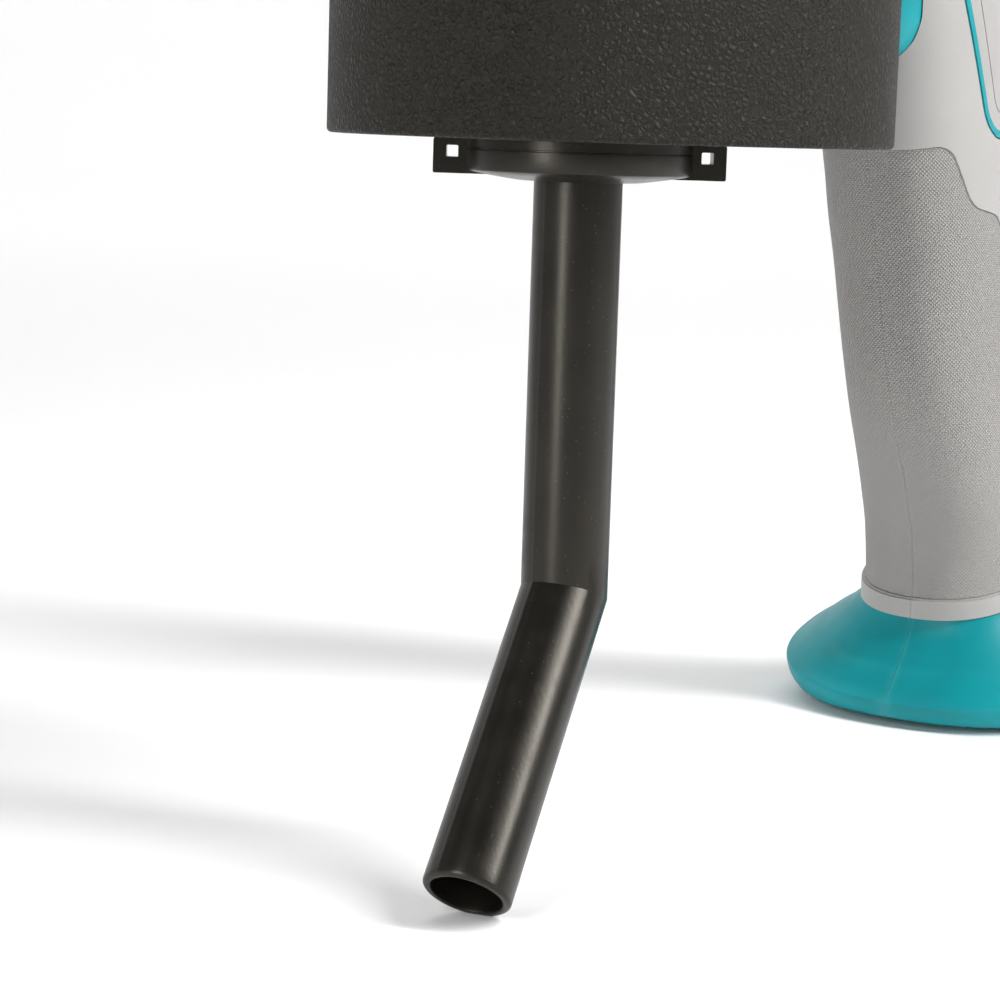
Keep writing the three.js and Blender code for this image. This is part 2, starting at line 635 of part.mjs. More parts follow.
const impeller = (() => {
  const blades = [];
  for (let i = 0; i < 9; i += 1) {
    const outline = [];
    for (let k = 0; k <= 3; k += 1) {
      const r = 14 + (k * (DRUM_R - 30)) / 3;
      const sweep = rad(i * 40 + k * 15);
      outline.push([r * Math.cos(sweep), r * Math.sin(sweep), sweep]);
    }
    const half = 0.8;
    const far = outline.map(([x, y, s]) => [x - half * Math.sin(s), y + half * Math.cos(s)]);
    const near = outline.map(([x, y, s]) => [x + half * Math.sin(s), y - half * Math.cos(s)]).reverse();
    const shape = new THREE.Shape([...far, ...near].map(([x, y]) => new THREE.Vector2(x, y)));
    const blade = new THREE.ExtrudeGeometry(shape, { depth: 18, bevelEnabled: false });
    blade.translate(DRUM_X, 0, 191);
    blades.push(solid(blade));
  }
  const hub = turned([[2.55, 190], [DRUM_R - 15.5, 190], [DRUM_R - 15.5, 192], [16, 193.5], [8, 200], [7, 214], [2.55, 214]], DRUM_X, 24);
  return join(hub, ...blades);
})();
const impellerNut = cut(post(4.6, 186, 189.7, DRUM_X, 0, 6), post(2.58, 180, 195, DRUM_X, 0, 24));
const diffuser = (() => {
  const vanes = [];
  for (let i = 0; i < 9; i += 1) {
    const vane = box(20, DRUM_R - 3.4, -0.9, 0.9, 166, 184);
    const spin = new THREE.Matrix4().makeRotationZ(rad(i * 40));
    spin.setPosition(DRUM_X, 0, 0);
    vanes.push(moved(vane, spin));
  }
  return join(ring(DRUM_R - 4.8, DRUM_R - 2.8, 166, 184, DRUM_X, 36), ring(13, DRUM_R - 14, 182, 184, DRUM_X, 28), ...vanes);
})();
const grille = (() => {
  const cap = turned([
    [0, 287.4], [32.4, 287.4], [32.4, 291.6], [26, 293.6], [14, 294.8], [0, 295.2],
  ], DRUM_X, 32);
  const under = turned([[0, 286], [29.8, 286], [29.8, 289.4], [24, 291.2], [13, 292.4], [0, 292.8]], DRUM_X, 32);
  const gaps = [];
  for (let i = 0; i < 16; i += 1) {
    const gap = box(11, 27.5, -1.25, 1.25, 280, 300);
    const spin = new THREE.Matrix4().makeRotationZ(rad(i * 22.5));
    spin.setPosition(DRUM_X, 0, 0);
    gaps.push(moved(gap, spin));
  }
  return cut(cap, under, ...gaps);
})();

// ---------------------------------------------------------------- outlet collar and bent tube
const collar = (() => {
  const cone = turned([
    [9.75, 140.4], [13.4, 140.4], [16.6, 140.9], [23.5, 142], [24, 142.6], [24, 148.7], [12.8, 148.7], [12.8, 142.2], [9.75, 142.2],
  ], 0, 40);
  const half = EAR_SPAN / 2;
  const ears = cut(
    join(box(-EAR_DEPTH / 2, EAR_DEPTH / 2, 12, half, 148.7 - EAR_H, 148.7),
      box(-EAR_DEPTH / 2, EAR_DEPTH / 2, -half, -12, 148.7 - EAR_H, 148.7)),
    post(13.5, 130, 160, 0, 0, 28),
    box(-10, 10, 25.3, 25.3 + WINDOW, 144.7, 144.7 + WINDOW),
    box(-10, 10, -25.3 - WINDOW, -25.3, 144.7, 144.7 + WINDOW),
  );
  const place = new THREE.Matrix4().makeRotationZ(rad(EAR_YAW));
  place.setPosition(TUBE_X, 0, 0);
  return moved(join(cone, ears), place);
})();
const seal = ring(9.1, 12.4, 143.3, 144.1, TUBE_X, 28);

const tube = (() => {
  const run = new THREE.Vector3(
    Math.sin(rad(BEND_DEG)) * Math.cos(rad(BEND_YAW)),
    Math.sin(rad(BEND_DEG)) * Math.sin(rad(BEND_YAW)),
    -Math.cos(rad(BEND_DEG)),
  );
  const bend = new THREE.Vector3(TUBE_X, 0, BEND_Z);
  const down = new THREE.Vector3(0, 0, -1);
  const frame = (direction, origin) => new THREE.Matrix4().compose(
    origin,
    new THREE.Quaternion().setFromUnitVectors(new THREE.Vector3(0, 0, 1), direction),
    new THREE.Vector3(1, 1, 1),
  );
  const lower = (outline) => moved(turned(outline, 0, 24), frame(run, bend));
  // the two straight runs meet on the plane that halves the bend
  const halving = down.clone().add(run).normalize();
  const beyond = moved(box(-80, 80, -80, 80, 0, 160), frame(halving, bend));
  const before = moved(box(-80, 80, -80, 80, -160, 0), frame(halving, bend));
  const upperOuter = join(
    post(TUBE_R, 20, 143.1, TUBE_X, 0, 24),
    post(12.3, 142.5, 143.1, TUBE_X, 0, 24),
  ).intersect(before);
  const rim = 1.0;
  const lowerOuter = lower([
    [0, -40], [TUBE_R, -40], [TUBE_R, TIP_RUN - rim], [TUBE_R - 0.3 * rim, TIP_RUN - 0.3 * rim],
    [TUBE_R - rim, TIP_RUN], [0, TIP_RUN],
  ]).intersect(beyond);
  const upperBore = post(BORE_R, 20, 160, TUBE_X, 0, 24).intersect(before);
  const lowerBore = lower([[0, -40], [BORE_R, -40], [BORE_R, TIP_RUN + 9], [0, TIP_RUN + 9]]).intersect(beyond);
  return cut(join(upperOuter, lowerOuter), join(upperBore, lowerBore));
})();

// ---------------------------------------------------------------- named meshes
const FINISH = {
  shell: { color: 0x9d9892, roughness: 0.55, metalness: 0 },
  panel: { color: 0xb4b1ac, roughness: 0.5, metalness: 0 },
  pad: { color: 0x8d8983, roughness: 0.8, metalness: 0 },
  teal: { color: 0x0b8f98, roughness: 0.45, metalness: 0 },
  black: { color: 0x26231f, roughness: 0.5, metalness: 0 },
  rubber: { color: 0x1b1a19, roughness: 0.85, metalness: 0 },
  steel: { color: 0xb9bcc0, roughness: 0.35, metalness: 1 },
  brass: { color: 0xc9a14a, roughness: 0.35, metalness: 1 },
  cell: { color: 0x2f6fb0, roughness: 0.4, metalness: 0 },
  board: { color: 0x1d6b3a, roughness: 0.5, metalness: 0 },
  white: { color: 0xe6e4de, roughness: 0.5, metalness: 0 },
  lens: { color: 0x9fe8d8, roughness: 0.15, metalness: 0 },
};
const group = new THREE.Group();
group.name = 'leaf_blower';
function put(name, manifold, finish) {
  const mesh = new THREE.Mesh(geometryOf(manifold), new THREE.MeshStandardMaterial(FINISH[finish]));
  mesh.name = name;
  group.add(mesh);
}

put('body_shell_left', body.intersect(leftSide), 'shell');
put('body_shell_right', body.intersect(rightSide), 'shell');
put('grip_pad_left', padSkin.intersect(leftSide), 'pad');
put('grip_pad_right', padSkin.intersect(rightSide), 'pad');
put('side_panel_left', panelSkin.intersect(leftSide), 'panel');
put('side_panel_right', panelSkin.intersect(rightSide), 'panel');
put('side_trim_left', trimSkin.intersect(leftSide), 'teal');
put('side_trim_right', trimSkin.intersect(rightSide), 'teal');
put('foot_left', foot.intersect(leftSide), 'teal');
put('foot_right', foot.intersect(rightSide), 'teal');
put('battery_base', packBase, 'black');
put('battery_case', packCase, 'black');
put('cell_lower', cellAt(8.6), 'cell');
put('cell_upper', cellAt(8.6 + CELL_LEN + 0.4), 'cell');
put('battery_contacts', packContacts, 'brass');
put('contact_receiver', receiver, 'white');
put('latch_button_left', latchButton(1), 'black');
put('latch_button_right', latchButton(-1), 'black');
put('latch_spring_left', coil([LATCH_X, 26.8, LATCH_Z], [0, 1, 0], 3.8, 2.9, 0.4, 4), 'steel');
put('latch_spring_right', coil([LATCH_X, -26.8, LATCH_Z], [0, -1, 0], 3.8, 2.9, 0.4, 4), 'steel');
put('trigger', trigger, 'teal');
put('trigger_pin', triggerPin, 'steel');
put('trigger_spring', triggerSpring, 'steel');
put('switch_module', switchModule, 'black');
put('boost_button', rearButton, 'teal');
put('boost_spring', buttonSpring, 'steel');
put('boost_switch', boostSwitch, 'black');
put('speed_dial', dial, 'black');
put('controller_board', board, 'board');
put('charge_lens', lens, 'lens');
put('drum_shell', drum, 'black');
put('drum_cover', drumCover, 'black');
put('motor_mount', motorMount, 'white');
put('motor_can', motorCan, 'steel');
put('motor_armature', armature, 'brass');
put('bearing_lower', bearing(226.3), 'steel');
put('bearing_upper', bearing(278.5), 'steel');
put('impeller', impeller, 'white');
put('impeller_nut', impellerNut, 'brass');
put('diffuser', diffuser, 'black');
put('intake_grille', grille, 'black');
put('outlet_seal', seal, 'rubber');
put('nozzle_collar', collar, 'black');
put('nozzle_tube', tube, 'black');
SCREWS.forEach((at, i) => put(`body_screw_${i + 1}`, screwAcross(at), 'steel'));
[60, 180, 300].forEach((deg, i) => put(`drum_screw_${i + 1}`, screwDown(deg), 'steel'));

export default group;
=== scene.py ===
import math

import bmesh
import bpy
from bpy.props import FloatProperty, FloatVectorProperty, IntProperty, PointerProperty
from bpy.types import Operator, Panel, PropertyGroup
from mathutils import Matrix, Vector


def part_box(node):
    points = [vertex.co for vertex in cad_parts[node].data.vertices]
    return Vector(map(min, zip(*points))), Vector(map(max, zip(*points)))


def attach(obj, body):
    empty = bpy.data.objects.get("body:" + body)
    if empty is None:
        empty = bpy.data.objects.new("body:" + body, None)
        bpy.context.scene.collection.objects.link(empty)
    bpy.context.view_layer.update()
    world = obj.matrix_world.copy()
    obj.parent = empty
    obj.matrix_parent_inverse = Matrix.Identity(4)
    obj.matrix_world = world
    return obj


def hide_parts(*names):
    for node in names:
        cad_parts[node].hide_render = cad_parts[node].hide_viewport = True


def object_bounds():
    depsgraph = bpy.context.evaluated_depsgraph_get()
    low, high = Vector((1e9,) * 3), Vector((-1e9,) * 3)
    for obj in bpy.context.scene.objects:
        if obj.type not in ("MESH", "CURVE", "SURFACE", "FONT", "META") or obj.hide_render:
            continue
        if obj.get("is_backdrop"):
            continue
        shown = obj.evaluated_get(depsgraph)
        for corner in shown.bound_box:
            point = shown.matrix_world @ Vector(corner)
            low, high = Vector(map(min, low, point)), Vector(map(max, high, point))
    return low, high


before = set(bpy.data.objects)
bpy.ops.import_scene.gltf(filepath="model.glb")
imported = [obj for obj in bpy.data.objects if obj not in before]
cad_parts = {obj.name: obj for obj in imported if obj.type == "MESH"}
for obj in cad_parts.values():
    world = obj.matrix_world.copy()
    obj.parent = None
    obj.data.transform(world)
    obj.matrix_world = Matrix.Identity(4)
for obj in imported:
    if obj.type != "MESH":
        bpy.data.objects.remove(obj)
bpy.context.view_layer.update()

bl_info = {
    "name": "Leaf Blower Model",
    "version": (1, 0, 0),
    "blender": (4, 5, 0),
    "location": "3D View > Sidebar > Leaf Blower",
    "description": "Builds the shown pieces of a compact cordless leaf blower round its packed frame",
    "category": "Object",
}

MM = 0.001

# ------------------------------------------------------------------ places taken from the frame
DRUM_LOW, DRUM_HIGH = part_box("drum_shell")
DRUM_X = (DRUM_LOW.x + DRUM_HIGH.x) / 2 / MM
DRUM_R = (DRUM_HIGH.x - DRUM_LOW.x) / 2 / MM
DRUM_FLOOR = 149.0
DRUM_RIM = DRUM_HIGH.z / MM
SEAL_LOW, SEAL_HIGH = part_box("outlet_seal")
TUBE_X = (SEAL_LOW.x + SEAL_HIGH.x) / 2 / MM
COLLAR_LOW, COLLAR_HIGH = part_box("nozzle_collar")
DIAL_LOW, DIAL_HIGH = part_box("speed_dial")
DIAL_X = (DIAL_LOW.x + DIAL_HIGH.x) / 2 / MM
DIAL_Z = (DIAL_LOW.z + DIAL_HIGH.z) / 2 / MM
BUTTON_LOW, BUTTON_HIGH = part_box("boost_button")
BUTTON_Z = (BUTTON_LOW.z + BUTTON_HIGH.z) / 2 / MM
LATCH_LOW, LATCH_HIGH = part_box("latch_button_left")
LATCH_X = (LATCH_LOW.x + LATCH_HIGH.x) / 2 / MM
LATCH_Z = (LATCH_LOW.z + LATCH_HIGH.z) / 2 / MM
LENS_LOW, LENS_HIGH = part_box("charge_lens")

# ------------------------------------------------------------------ sizes shared with the solids, in mm
TUBE_R = 9.35
BORE_R = 7.6
BEND_Z = 52.7
BEND_DEG = 42.0
BEND_YAW = 13.5
TIP_RUN = 73.0
EAR_YAW = 36.0
EAR_SPAN = 61.0
EAR_H = 7.3
EAR_DEPTH = 10.0
WINDOW = 2.5
NECK_X, NECK_Z, NECK_TILT = 31.7, 25.2, 15.0
RAKE = 17.4
WALL = 2.6
PIN = (80.0, 213.0)
SCREWS = ((47, 262.5), (118, 263), (116, 231.5), (33, 176), (229, 242))

# height, front edge, half length, half width
GRIP = (
    (18, 31.8, 24.6, 23.6),
    (34, 32.7, 24, 22.9),
    (47, 34.8, 23.8, 22.6),
    (57, 38.5, 23.8, 22.2),
    (68, 43.3, 24, 21.8),
    (80, 48.9, 24, 21.4),
    (94, 54.4, 24.2, 21),
    (107, 58.2, 24.5, 21.2),
    (119, 61.3, 25, 21.6),
    (132, 65.6, 25.5, 21.8),
    (147, 70, 26, 21.4),
    (165, 74.6, 26.8, 21.2),
    (185, 79.4, 28, 21.2),
    (210, 85, 31, 21.5),
    (244, 93, 36, 21.5),
)
# distance forward, centre height, half height, half width
BRIDGE = (
    (25, 246, 9.5, 10),
    (26.5, 246, 13, 13),
    (31, 246, 17.4, 17),
    (40, 246, 20.6, 19.8),
    (54, 246.2, 22.2, 21.6),
    (80, 247, 22.8, 23),
    (110, 248.2, 23, 26),
    (140, 249, 23, 30),
    (184, 249, 22.6, 33),
)
# height at the front edge, front edge, rear edge, half width, share of the neck's tilt
FOOT = (
    (0, 43.9, -31.0, 38.4, 0),
    (0.5, 44.7, -31.8, 39.9, 0.1),
    (1.6, 45.1, -32.1, 42.6, 0.38),
    (2.8, 45.3, -32.2, 44.3, 0.68),
    (3.7, 45.3, -32.2, 45.0, 0.9),
    (4.15, 45.25, -32.0, 45.1, 0.98),
    (4.4, 45.05, -31.8, 45.0, 1),
    (4.7, 44.7, -31.5, 44.6, 1),
    (5.3, 44.1, -31.0, 43.9, 1),
    (6.2, 43.2, -30, 42.8, 1),
    (8.8, 41.2, -27.8, 40.0, 1),
    (10.7, 39.8, -26.2, 38, 1),
    (13.5, 37.3, -23.8, 34.6, 1),
    (16.8, 35.4, -21.2, 31, 1),
    (20.8, 33.2, -18.4, 27, 1),
    (23.9, 32.2, -16.6, 24.6, 1),
    (25.6, 31.9, -16, 23.9, 1),
    (28, 31.9, -15.6, 23.7, 1),
)
# radius, height
DOME = (
    (62.6, 218),
    (62.6, 231),
    (60.6, 236),
    (56.2, 243),
    (52.2, 252),
    (49.6, 264),
    (47.4, 276),
    (44.6, 284),
    (40.6, 289.2),
    (35.5, 291),
)
PAD = (
    (80, 145.8), (62.3, 149.2), (59.2, 147.6), (52.6, 136.6), (49.6, 134.2),
    (39.5, 132.3), (35.8, 127.5), (28, 100), (17.5, 70), (13, 46), (16, 40.5), (60, 38),
)
# the textured skin runs on down to the band round the neck
SKIN_EDGE = PAD[:-2] + ((11.2, 36.3), (60, 23.2))
PANEL = (
    (46.6, 156.8), (53, 171), (60.4, 187), (70, 209), (78, 226), (88, 234), (104, 236.5), (108, 241),
    (108, 257), (104, 261), (60, 259), (41, 255.5), (36, 250), (33.5, 236), (31, 205), (28.5, 175),
    (28.6, 159), (32, 154.2), (41, 153.2),
)


# ------------------------------------------------------------------ properties
def colour(name, description, value):
    return FloatVectorProperty(
        name=name, description=description, default=value, size=3, subtype="COLOR", min=0.0, max=1.0
    )


def length(name, description, millimetres):
    return FloatProperty(
        name=name, description=description, default=millimetres * MM, min=0.0, unit="LENGTH", precision=5
    )


class BlowerSizes(PropertyGroup):
    seam: length("Seam width", "Gap between the two halves of the case", 0.07)
    grain: length("Drum grain", "Size of one pebble in the drum's leather grain", 1.35)
    knurl: length("Grip texture", "Distance between the diamonds of the grip's texture", 1.04)
    rim: length("Nozzle rim", "Rounding at the nozzle's mouth", 0.95)
    mould_line: length("Mould line", "Height of the mould line on the nozzle", 0.13)
    tube_sides: IntProperty(
        name="Nozzle sides", description="Number of faces round the nozzle", default=144, min=24, max=256
    )


class BlowerColours(PropertyGroup):
    shell: colour("Shell", "Grey of the case halves", (0.372, 0.364, 0.353))
    panel: colour("Flank panel", "Lighter grey of the inset panels", (0.350, 0.343, 0.334))
    pad: colour("Grip texture", "Grey of the textured grip", (0.345, 0.333, 0.320))
    teal: colour("Teal", "Foot, trigger, boost button and trim", (0.0003, 0.250, 0.282))
    black: colour("Black", "Moulded black of the nozzle and collar", (0.0074, 0.0067, 0.0054))
    grained: colour("Grained black", "Black of the grained drum", (0.0072, 0.0065, 0.0052))


def sizes():
    return bpy.context.scene.blower_sizes


def colours():
    return bpy.context.scene.blower_colours


# ------------------------------------------------------------------ shader maths
class Value:
    """One socket of a material, so that shader maths reads as a formula."""

    def __init__(self, sheet, socket):
        self.sheet = sheet
        self.socket = socket

    def maths(self, operation, *values):
        return self.sheet.node("ShaderNodeMath", {"operation": operation}, values)[0]

    def __add__(self, other):
        return self.maths("ADD", self, other)

    def __radd__(self, other):
        return self.maths("ADD", other, self)

    def __sub__(self, other):
        return self.maths("SUBTRACT", self, other)

    def __rsub__(self, other):
        return self.maths("SUBTRACT", other, self)

    def __mul__(self, other):
        return self.maths("MULTIPLY", self, other)

    def __rmul__(self, other):
        return self.maths("MULTIPLY", other, self)

    def __truediv__(self, other):
        return self.maths("DIVIDE", self, other)

    def __pow__(self, other):
        return self.maths("POWER", self, other)

    def less(self, other):
        return self.maths("LESS_THAN", self, other)

    def more(self, other):
        return self.maths("GREATER_THAN", self, other)

    def highest(self, other):
        return self.maths("MAXIMUM", self, other)

    def sine(self):
        return self.maths("SINE", self)

    def size(self):
        return self.maths("ABSOLUTE", self)

    def span(self, low, high, to_low=0.0, to_high=1.0):
        """The value carried from one range to another and held inside it."""
        return self.sheet.node(
            "ShaderNodeMapRange", {"clamp": True, "interpolation_type": "SMOOTHSTEP"},
            (self, low, high, to_low, to_high),
        )[0]


class Sheet:
    """A material under construction."""

    def __init__(
        self, name, metallic=0.0, coat=0.0, coat_roughness=0.1, specular=0.5, sheen=0.0, transmission=0.0,
        gleam=(1.0, 1.0, 1.0),
    ):
        self.material = bpy.data.materials.new(name)
        self.material.use_nodes = True
        self.tree = self.material.node_tree
        self.shader = self.tree.nodes["Principled BSDF"]
        self.shader.inputs["Metallic"].default_value = metallic
        self.shader.inputs["Coat Weight"].default_value = coat
        self.shader.inputs["Coat Roughness"].default_value = coat_roughness
        self.shader.inputs["Specular IOR Level"].default_value = specular
        self.shader.inputs["Specular Tint"].default_value = (*gleam, 1.0)
        self.shader.inputs["Sheen Weight"].default_value = sheen
        self.shader.inputs["Transmission Weight"].default_value = transmission
        where = self.node("ShaderNodeTexCoord")
        self.place = where["Object"]

    def node(self, kind, settings=None, values=()):
        """Adds a node: its settings first, then its sockets by order or by name. Returns its outputs."""
        made = self.tree.nodes.new(kind)
        for key, setting in (settings or {}).items():
            if key == "stops":
                ramp = made.color_ramp
                while len(ramp.elements) < len(setting):
                    ramp.elements.new(1.0)
                for stop, (at, tint) in zip(ramp.elements, setting):
                    stop.position = at
                    stop.color = (*tint, 1.0) if len(tint) == 3 else tint
            else:
                setattr(made, key, setting)
        pairs = values.items() if isinstance(values, dict) else enumerate(values)
        for key, value in pairs:
            socket = made.inputs[key]
            if isinstance(value, Value):
                self.tree.links.new(value.socket, socket)
            elif (
                hasattr(socket.default_value, "__len__")
                and len(socket.default_value) == 4
                and len(value) == 3
            ):
                socket.default_value = (*value, 1.0)
            else:
                socket.default_value = value
        return Outputs(self, made)

    def noise(self, scale, detail=3.0, roughness=0.55, where=None):
        made = self.node(
            "ShaderNodeTexNoise", None,
            {"Vector": where or self.place, "Scale": scale, "Detail": detail, "Roughness": roughness},
        )
        return made[0]

    def cells(self, scale, feature="F1", randomness=1.0, where=None):
        return self.node(
            "ShaderNodeTexVoronoi", {"feature": feature},
            {"Vector": where or self.place, "Scale": scale, "Randomness": randomness},
        )

    def blend(self, amount, first, second, how="MIX"):
        """A colour between two others."""
        made = self.node(
            "ShaderNodeMix", {"data_type": "RGBA", "blend_type": how}, {"Factor": amount, 6: first, 7: second}
        )
        return made[2]

    def axes(self):
        made = self.node("ShaderNodeSeparateXYZ", None, (self.place,))
        return made[0], made[1], made[2]

    def seam_line(self):
        """1 along the fine raised line where the two moulded halves meet. The grey and teal materials use it
        for the ridge's bump and to paint a highlight along the line.
        """
        y = self.axes()[1]
        return y.size().span(0.00006, 0.00034, 1.0, 0.0)

    def worn(self):
        """1 along convex edges, fading inwards."""
        made = self.node("ShaderNodeNewGeometry")
        return made["Pointiness"].span(0.52, 0.60)

    def finish(self, base, roughness, height=None, distance=0.0002, strength=1.0, metallic=None):
        for socket, value in (("Base Color", base), ("Roughness", roughness), ("Metallic", metallic)):
            if value is None:
                continue
            if isinstance(value, Value):
                self.tree.links.new(value.socket, self.shader.inputs[socket])
            elif socket == "Base Color":
                self.shader.inputs[socket].default_value = (*value, 1.0)
            else:
                self.shader.inputs[socket].default_value = value
        if height is not None:
            bump = self.node(
                "ShaderNodeBump", None, {"Strength": strength, "Distance": distance, "Height": height}
            )
            self.tree.links.new(bump[0].socket, self.shader.inputs["Normal"])
        return self.material


class Outputs:
    """The outputs of a node, by order or by name, as values."""

    def __init__(self, sheet, made):
        self.sheet = sheet
        self.made = made

    def __getitem__(self, key):
        if isinstance(key, int) and self.made.bl_idname == "ShaderNodeMix":
            return Value(self.sheet, self.made.outputs[key])
        return Value(self.sheet, self.made.outputs[key])


def tinted(colour_value, factor):
    return tuple(min(1.0, c * factor) for c in colour_value)


# ------------------------------------------------------------------ materials
WARM_GLEAM = (1.0, 0.93, 0.82)  # tint of the highlights on the black plastics
FLOOR_FLAT = 2.4  # radius of the flat floor, metres
FLOOR_CURVE = 0.9  # radius of the sweep from floor to wall, metres
WALL_TOP = 3.0  # height of the wall, metres
CAMERA_YAW = 36.0  # degrees round from the front
CAMERA_PITCH = 8.3
CAMERA_ROLL = 1.8
CAMERA_LENS = 95.4  # millimetres
FINISHES = {}


def finish(name):
    """The material of that name, made once."""
    if name not in FINISHES:
        FINISHES[name] = MAKERS[name]()
    return FINISHES[name]


def leather_black():
    """Pebbled leather grain moulded into black plastic."""
    sheet = Sheet("leather_grained_black", specular=0.30, gleam=WARM_GLEAM)
    base = tuple(colours().grained)
    pebble = 1.0 / sizes().grain
    drift = sheet.noise(pebble * 0.35, 2.0)
    warped = sheet.node(
        "ShaderNodeVectorMath", {"operation": "ADD"},
        (sheet.place, sheet.node(
            "ShaderNodeVectorMath", {"operation": "SCALE"},
            {
                0: sheet.node(
                    "ShaderNodeTexNoise", None, {"Vector": sheet.place, "Scale": pebble * 0.8}
                )["Color"],
                "Scale": sizes().grain * 0.7,
            },
        )[0]),
    )[0]
    folds = sheet.cells(pebble, "DISTANCE_TO_EDGE", where=warped)["Distance"].span(0.0, 0.42)
    small = sheet.cells(pebble * 2.3, "DISTANCE_TO_EDGE", where=warped)["Distance"].span(0.0, 0.5)
    fine = sheet.noise(pebble * 6.0, 3.0)
    height = folds * 0.62 + small * 0.25 + fine * 0.13 + drift * 0.25
    cloudy = sheet.noise(38.0, 4.0).span(0.32, 0.68)
    tint = sheet.blend(cloudy, tinted(base, 0.86), tinted(base, 1.2))
    # painted shade: the creases between the pebbles of the grain are darkened
    tint = sheet.blend(folds.span(0.0, 0.5, 0.5, 0.0), tint, tinted(base, 0.55))
    dusty = sheet.cells(900.0)["Distance"].less(0.07) * sheet.noise(220.0).more(0.6)
    tint = sheet.blend(dusty * 0.5, tint, (0.30, 0.27, 0.22))
    roughness = 0.37 + (1 - folds) * 0.18 + cloudy * 0.08
    return sheet.finish(tint, roughness, height, distance=0.00055, strength=1.0)


def moulded_black():
    """Smooth black plastic with dust specks, flow streaks and fine orange peel."""
    sheet = Sheet("moulded_black", specular=0.36, gleam=WARM_GLEAM)
    base = tuple(colours().black)
    peel = sheet.noise(1100.0, 2.0)
    slow = sheet.noise(60.0, 3.0)
    dust = sheet.cells(760.0)["Distance"].less(0.07) * sheet.noise(170.0).more(0.47)
    coarse = sheet.cells(300.0)["Distance"].less(0.035) * sheet.noise(90.0).more(0.55)
    specks = dust.highest(coarse)
    tint = sheet.blend(slow.span(0.3, 0.7), tinted(base, 0.8), tinted(base, 1.35))
    tint = sheet.blend(specks * 0.42, tint, (0.30, 0.27, 0.22))
    scuffs = sheet.noise(140.0, 5.0, 0.7).span(0.5, 0.72)
    roughness = 0.27 + slow * 0.07 + scuffs * 0.10 + specks * 0.3
    return sheet.finish(tint, roughness, peel * 0.6 + slow * 0.6, distance=0.00006, strength=0.7)


def satin_grey(name, base, peel_scale, peel, roughness):
    sheet = Sheet(name, specular=0.5)
    spark = sheet.noise(peel_scale, 3.0, 0.6)
    slow = sheet.noise(26.0, 3.0)
    smudge = sheet.noise(85.0, 5.0, 0.65).span(0.48, 0.75)
    worn = sheet.worn()
    tint = sheet.blend(slow.span(0.3, 0.7), tinted(base, 0.965), tinted(base, 1.03))
    tint = sheet.blend(smudge * 0.25, tint, tinted(base, 0.90))
    tint = sheet.blend(worn * 0.35, tint, tinted(base, 1.14))
    specks = sheet.cells(420.0)["Distance"].less(0.05) * sheet.noise(120.0).more(0.6)
    tint = sheet.blend(specks * 0.35, tint, tinted(base, 0.55))
    line = sheet.seam_line()
    # painted highlight: the colour is lightened along the seam's raised line
    tint = sheet.blend(line * 0.35, tint, tinted(base, 1.25))
    rough = roughness + slow * 0.05 + smudge * 0.06 - worn * 0.08
    return sheet.finish(tint, rough, spark * peel + line * 2.6, distance=0.00006, strength=0.9)


def shell_grey():
    return satin_grey("shell_grey", tuple(colours().shell), 2100.0, 0.8, 0.47)


def panel_grey():
    return satin_grey("panel_grey", tuple(colours().panel), 1500.0, 0.45, 0.40)


def knurled_grey():
    """Fine diamond texture that runs round the grip."""
    sheet = Sheet("knurled_grey", specular=0.5)
    base = tuple(colours().pad)
    x, y, z = sheet.axes()
    middle = (z - 0.025) * 0.314 + 0.0077
    turn = sheet.node("ShaderNodeMath", {"operation": "ARCTAN2"}, (y, x - middle))[0]
    round_it = turn * 0.0245
    rows = math.pi / sizes().knurl
    up = ((round_it + z) * rows).sine().size()
    down = ((round_it - z) * rows).sine().size()
    diamond = (up * down) ** 0.8
    slow = sheet.noise(30.0, 3.0)
    smudge = sheet.noise(90.0, 5.0, 0.65).span(0.45, 0.75)
    worn = sheet.worn()
    fade = z.span(0.052, 0.100)
    raised = diamond * (0.35 + fade * 0.65)
    # painted shade and highlight: the low parts of the diamond texture are darkened and the raised diamonds
    # lightened
    tint = sheet.blend(raised.span(0.0, 0.9), tinted(base, 0.80), tinted(base, 1.07))
    tint = sheet.blend(slow.span(0.3, 0.7) * 0.5, tint, tinted(base, 0.93))
    tint = sheet.blend(smudge * 0.2, tint, tinted(base, 0.82))
    tint = sheet.blend(worn * 0.3, tint, tinted(base, 1.15))
    roughness = 0.55 + (1 - raised) * 0.15 + smudge * 0.05
    line = sheet.seam_line()
    # painted highlight: the colour is lightened along the seam's raised line
    tint = sheet.blend(line * 0.5, tint, tinted(base, 1.25))
    height = raised + sheet.noise(2600.0) * 0.12 + line * 0.8
    return sheet.finish(tint, roughness, height, distance=0.00030, strength=1.0)


def teal_gloss():
    """Satin-gloss teal plastic with slight swirl and edge wear."""
    sheet = Sheet("teal_gloss", specular=0.3)
    base = tuple(colours().teal)
    slow = sheet.noise(30.0, 3.0)
    peel = sheet.noise(1300.0, 2.0)
    swirl = sheet.noise(75.0, 6.0, 0.7).span(0.42, 0.72)
    worn = sheet.worn()
    tint = sheet.blend(slow.span(0.3, 0.7), tinted(base, 0.90), tinted(base, 1.10))
    tint = sheet.blend(swirl * 0.25, tint, tinted(base, 0.82))
    tint = sheet.blend(worn * 0.35, tint, (0.10, 0.42, 0.44))
    line = sheet.seam_line()
    # painted highlight: the colour is lightened along the seam's raised line
    tint = sheet.blend(line * 0.25, tint, (0.02, 0.36, 0.39))
    rough = 0.36 + slow * 0.08 + swirl * 0.07
    return sheet.finish(tint, rough, peel * 0.7 + slow * 0.4 + line * 2.4, distance=0.00006, strength=0.7)


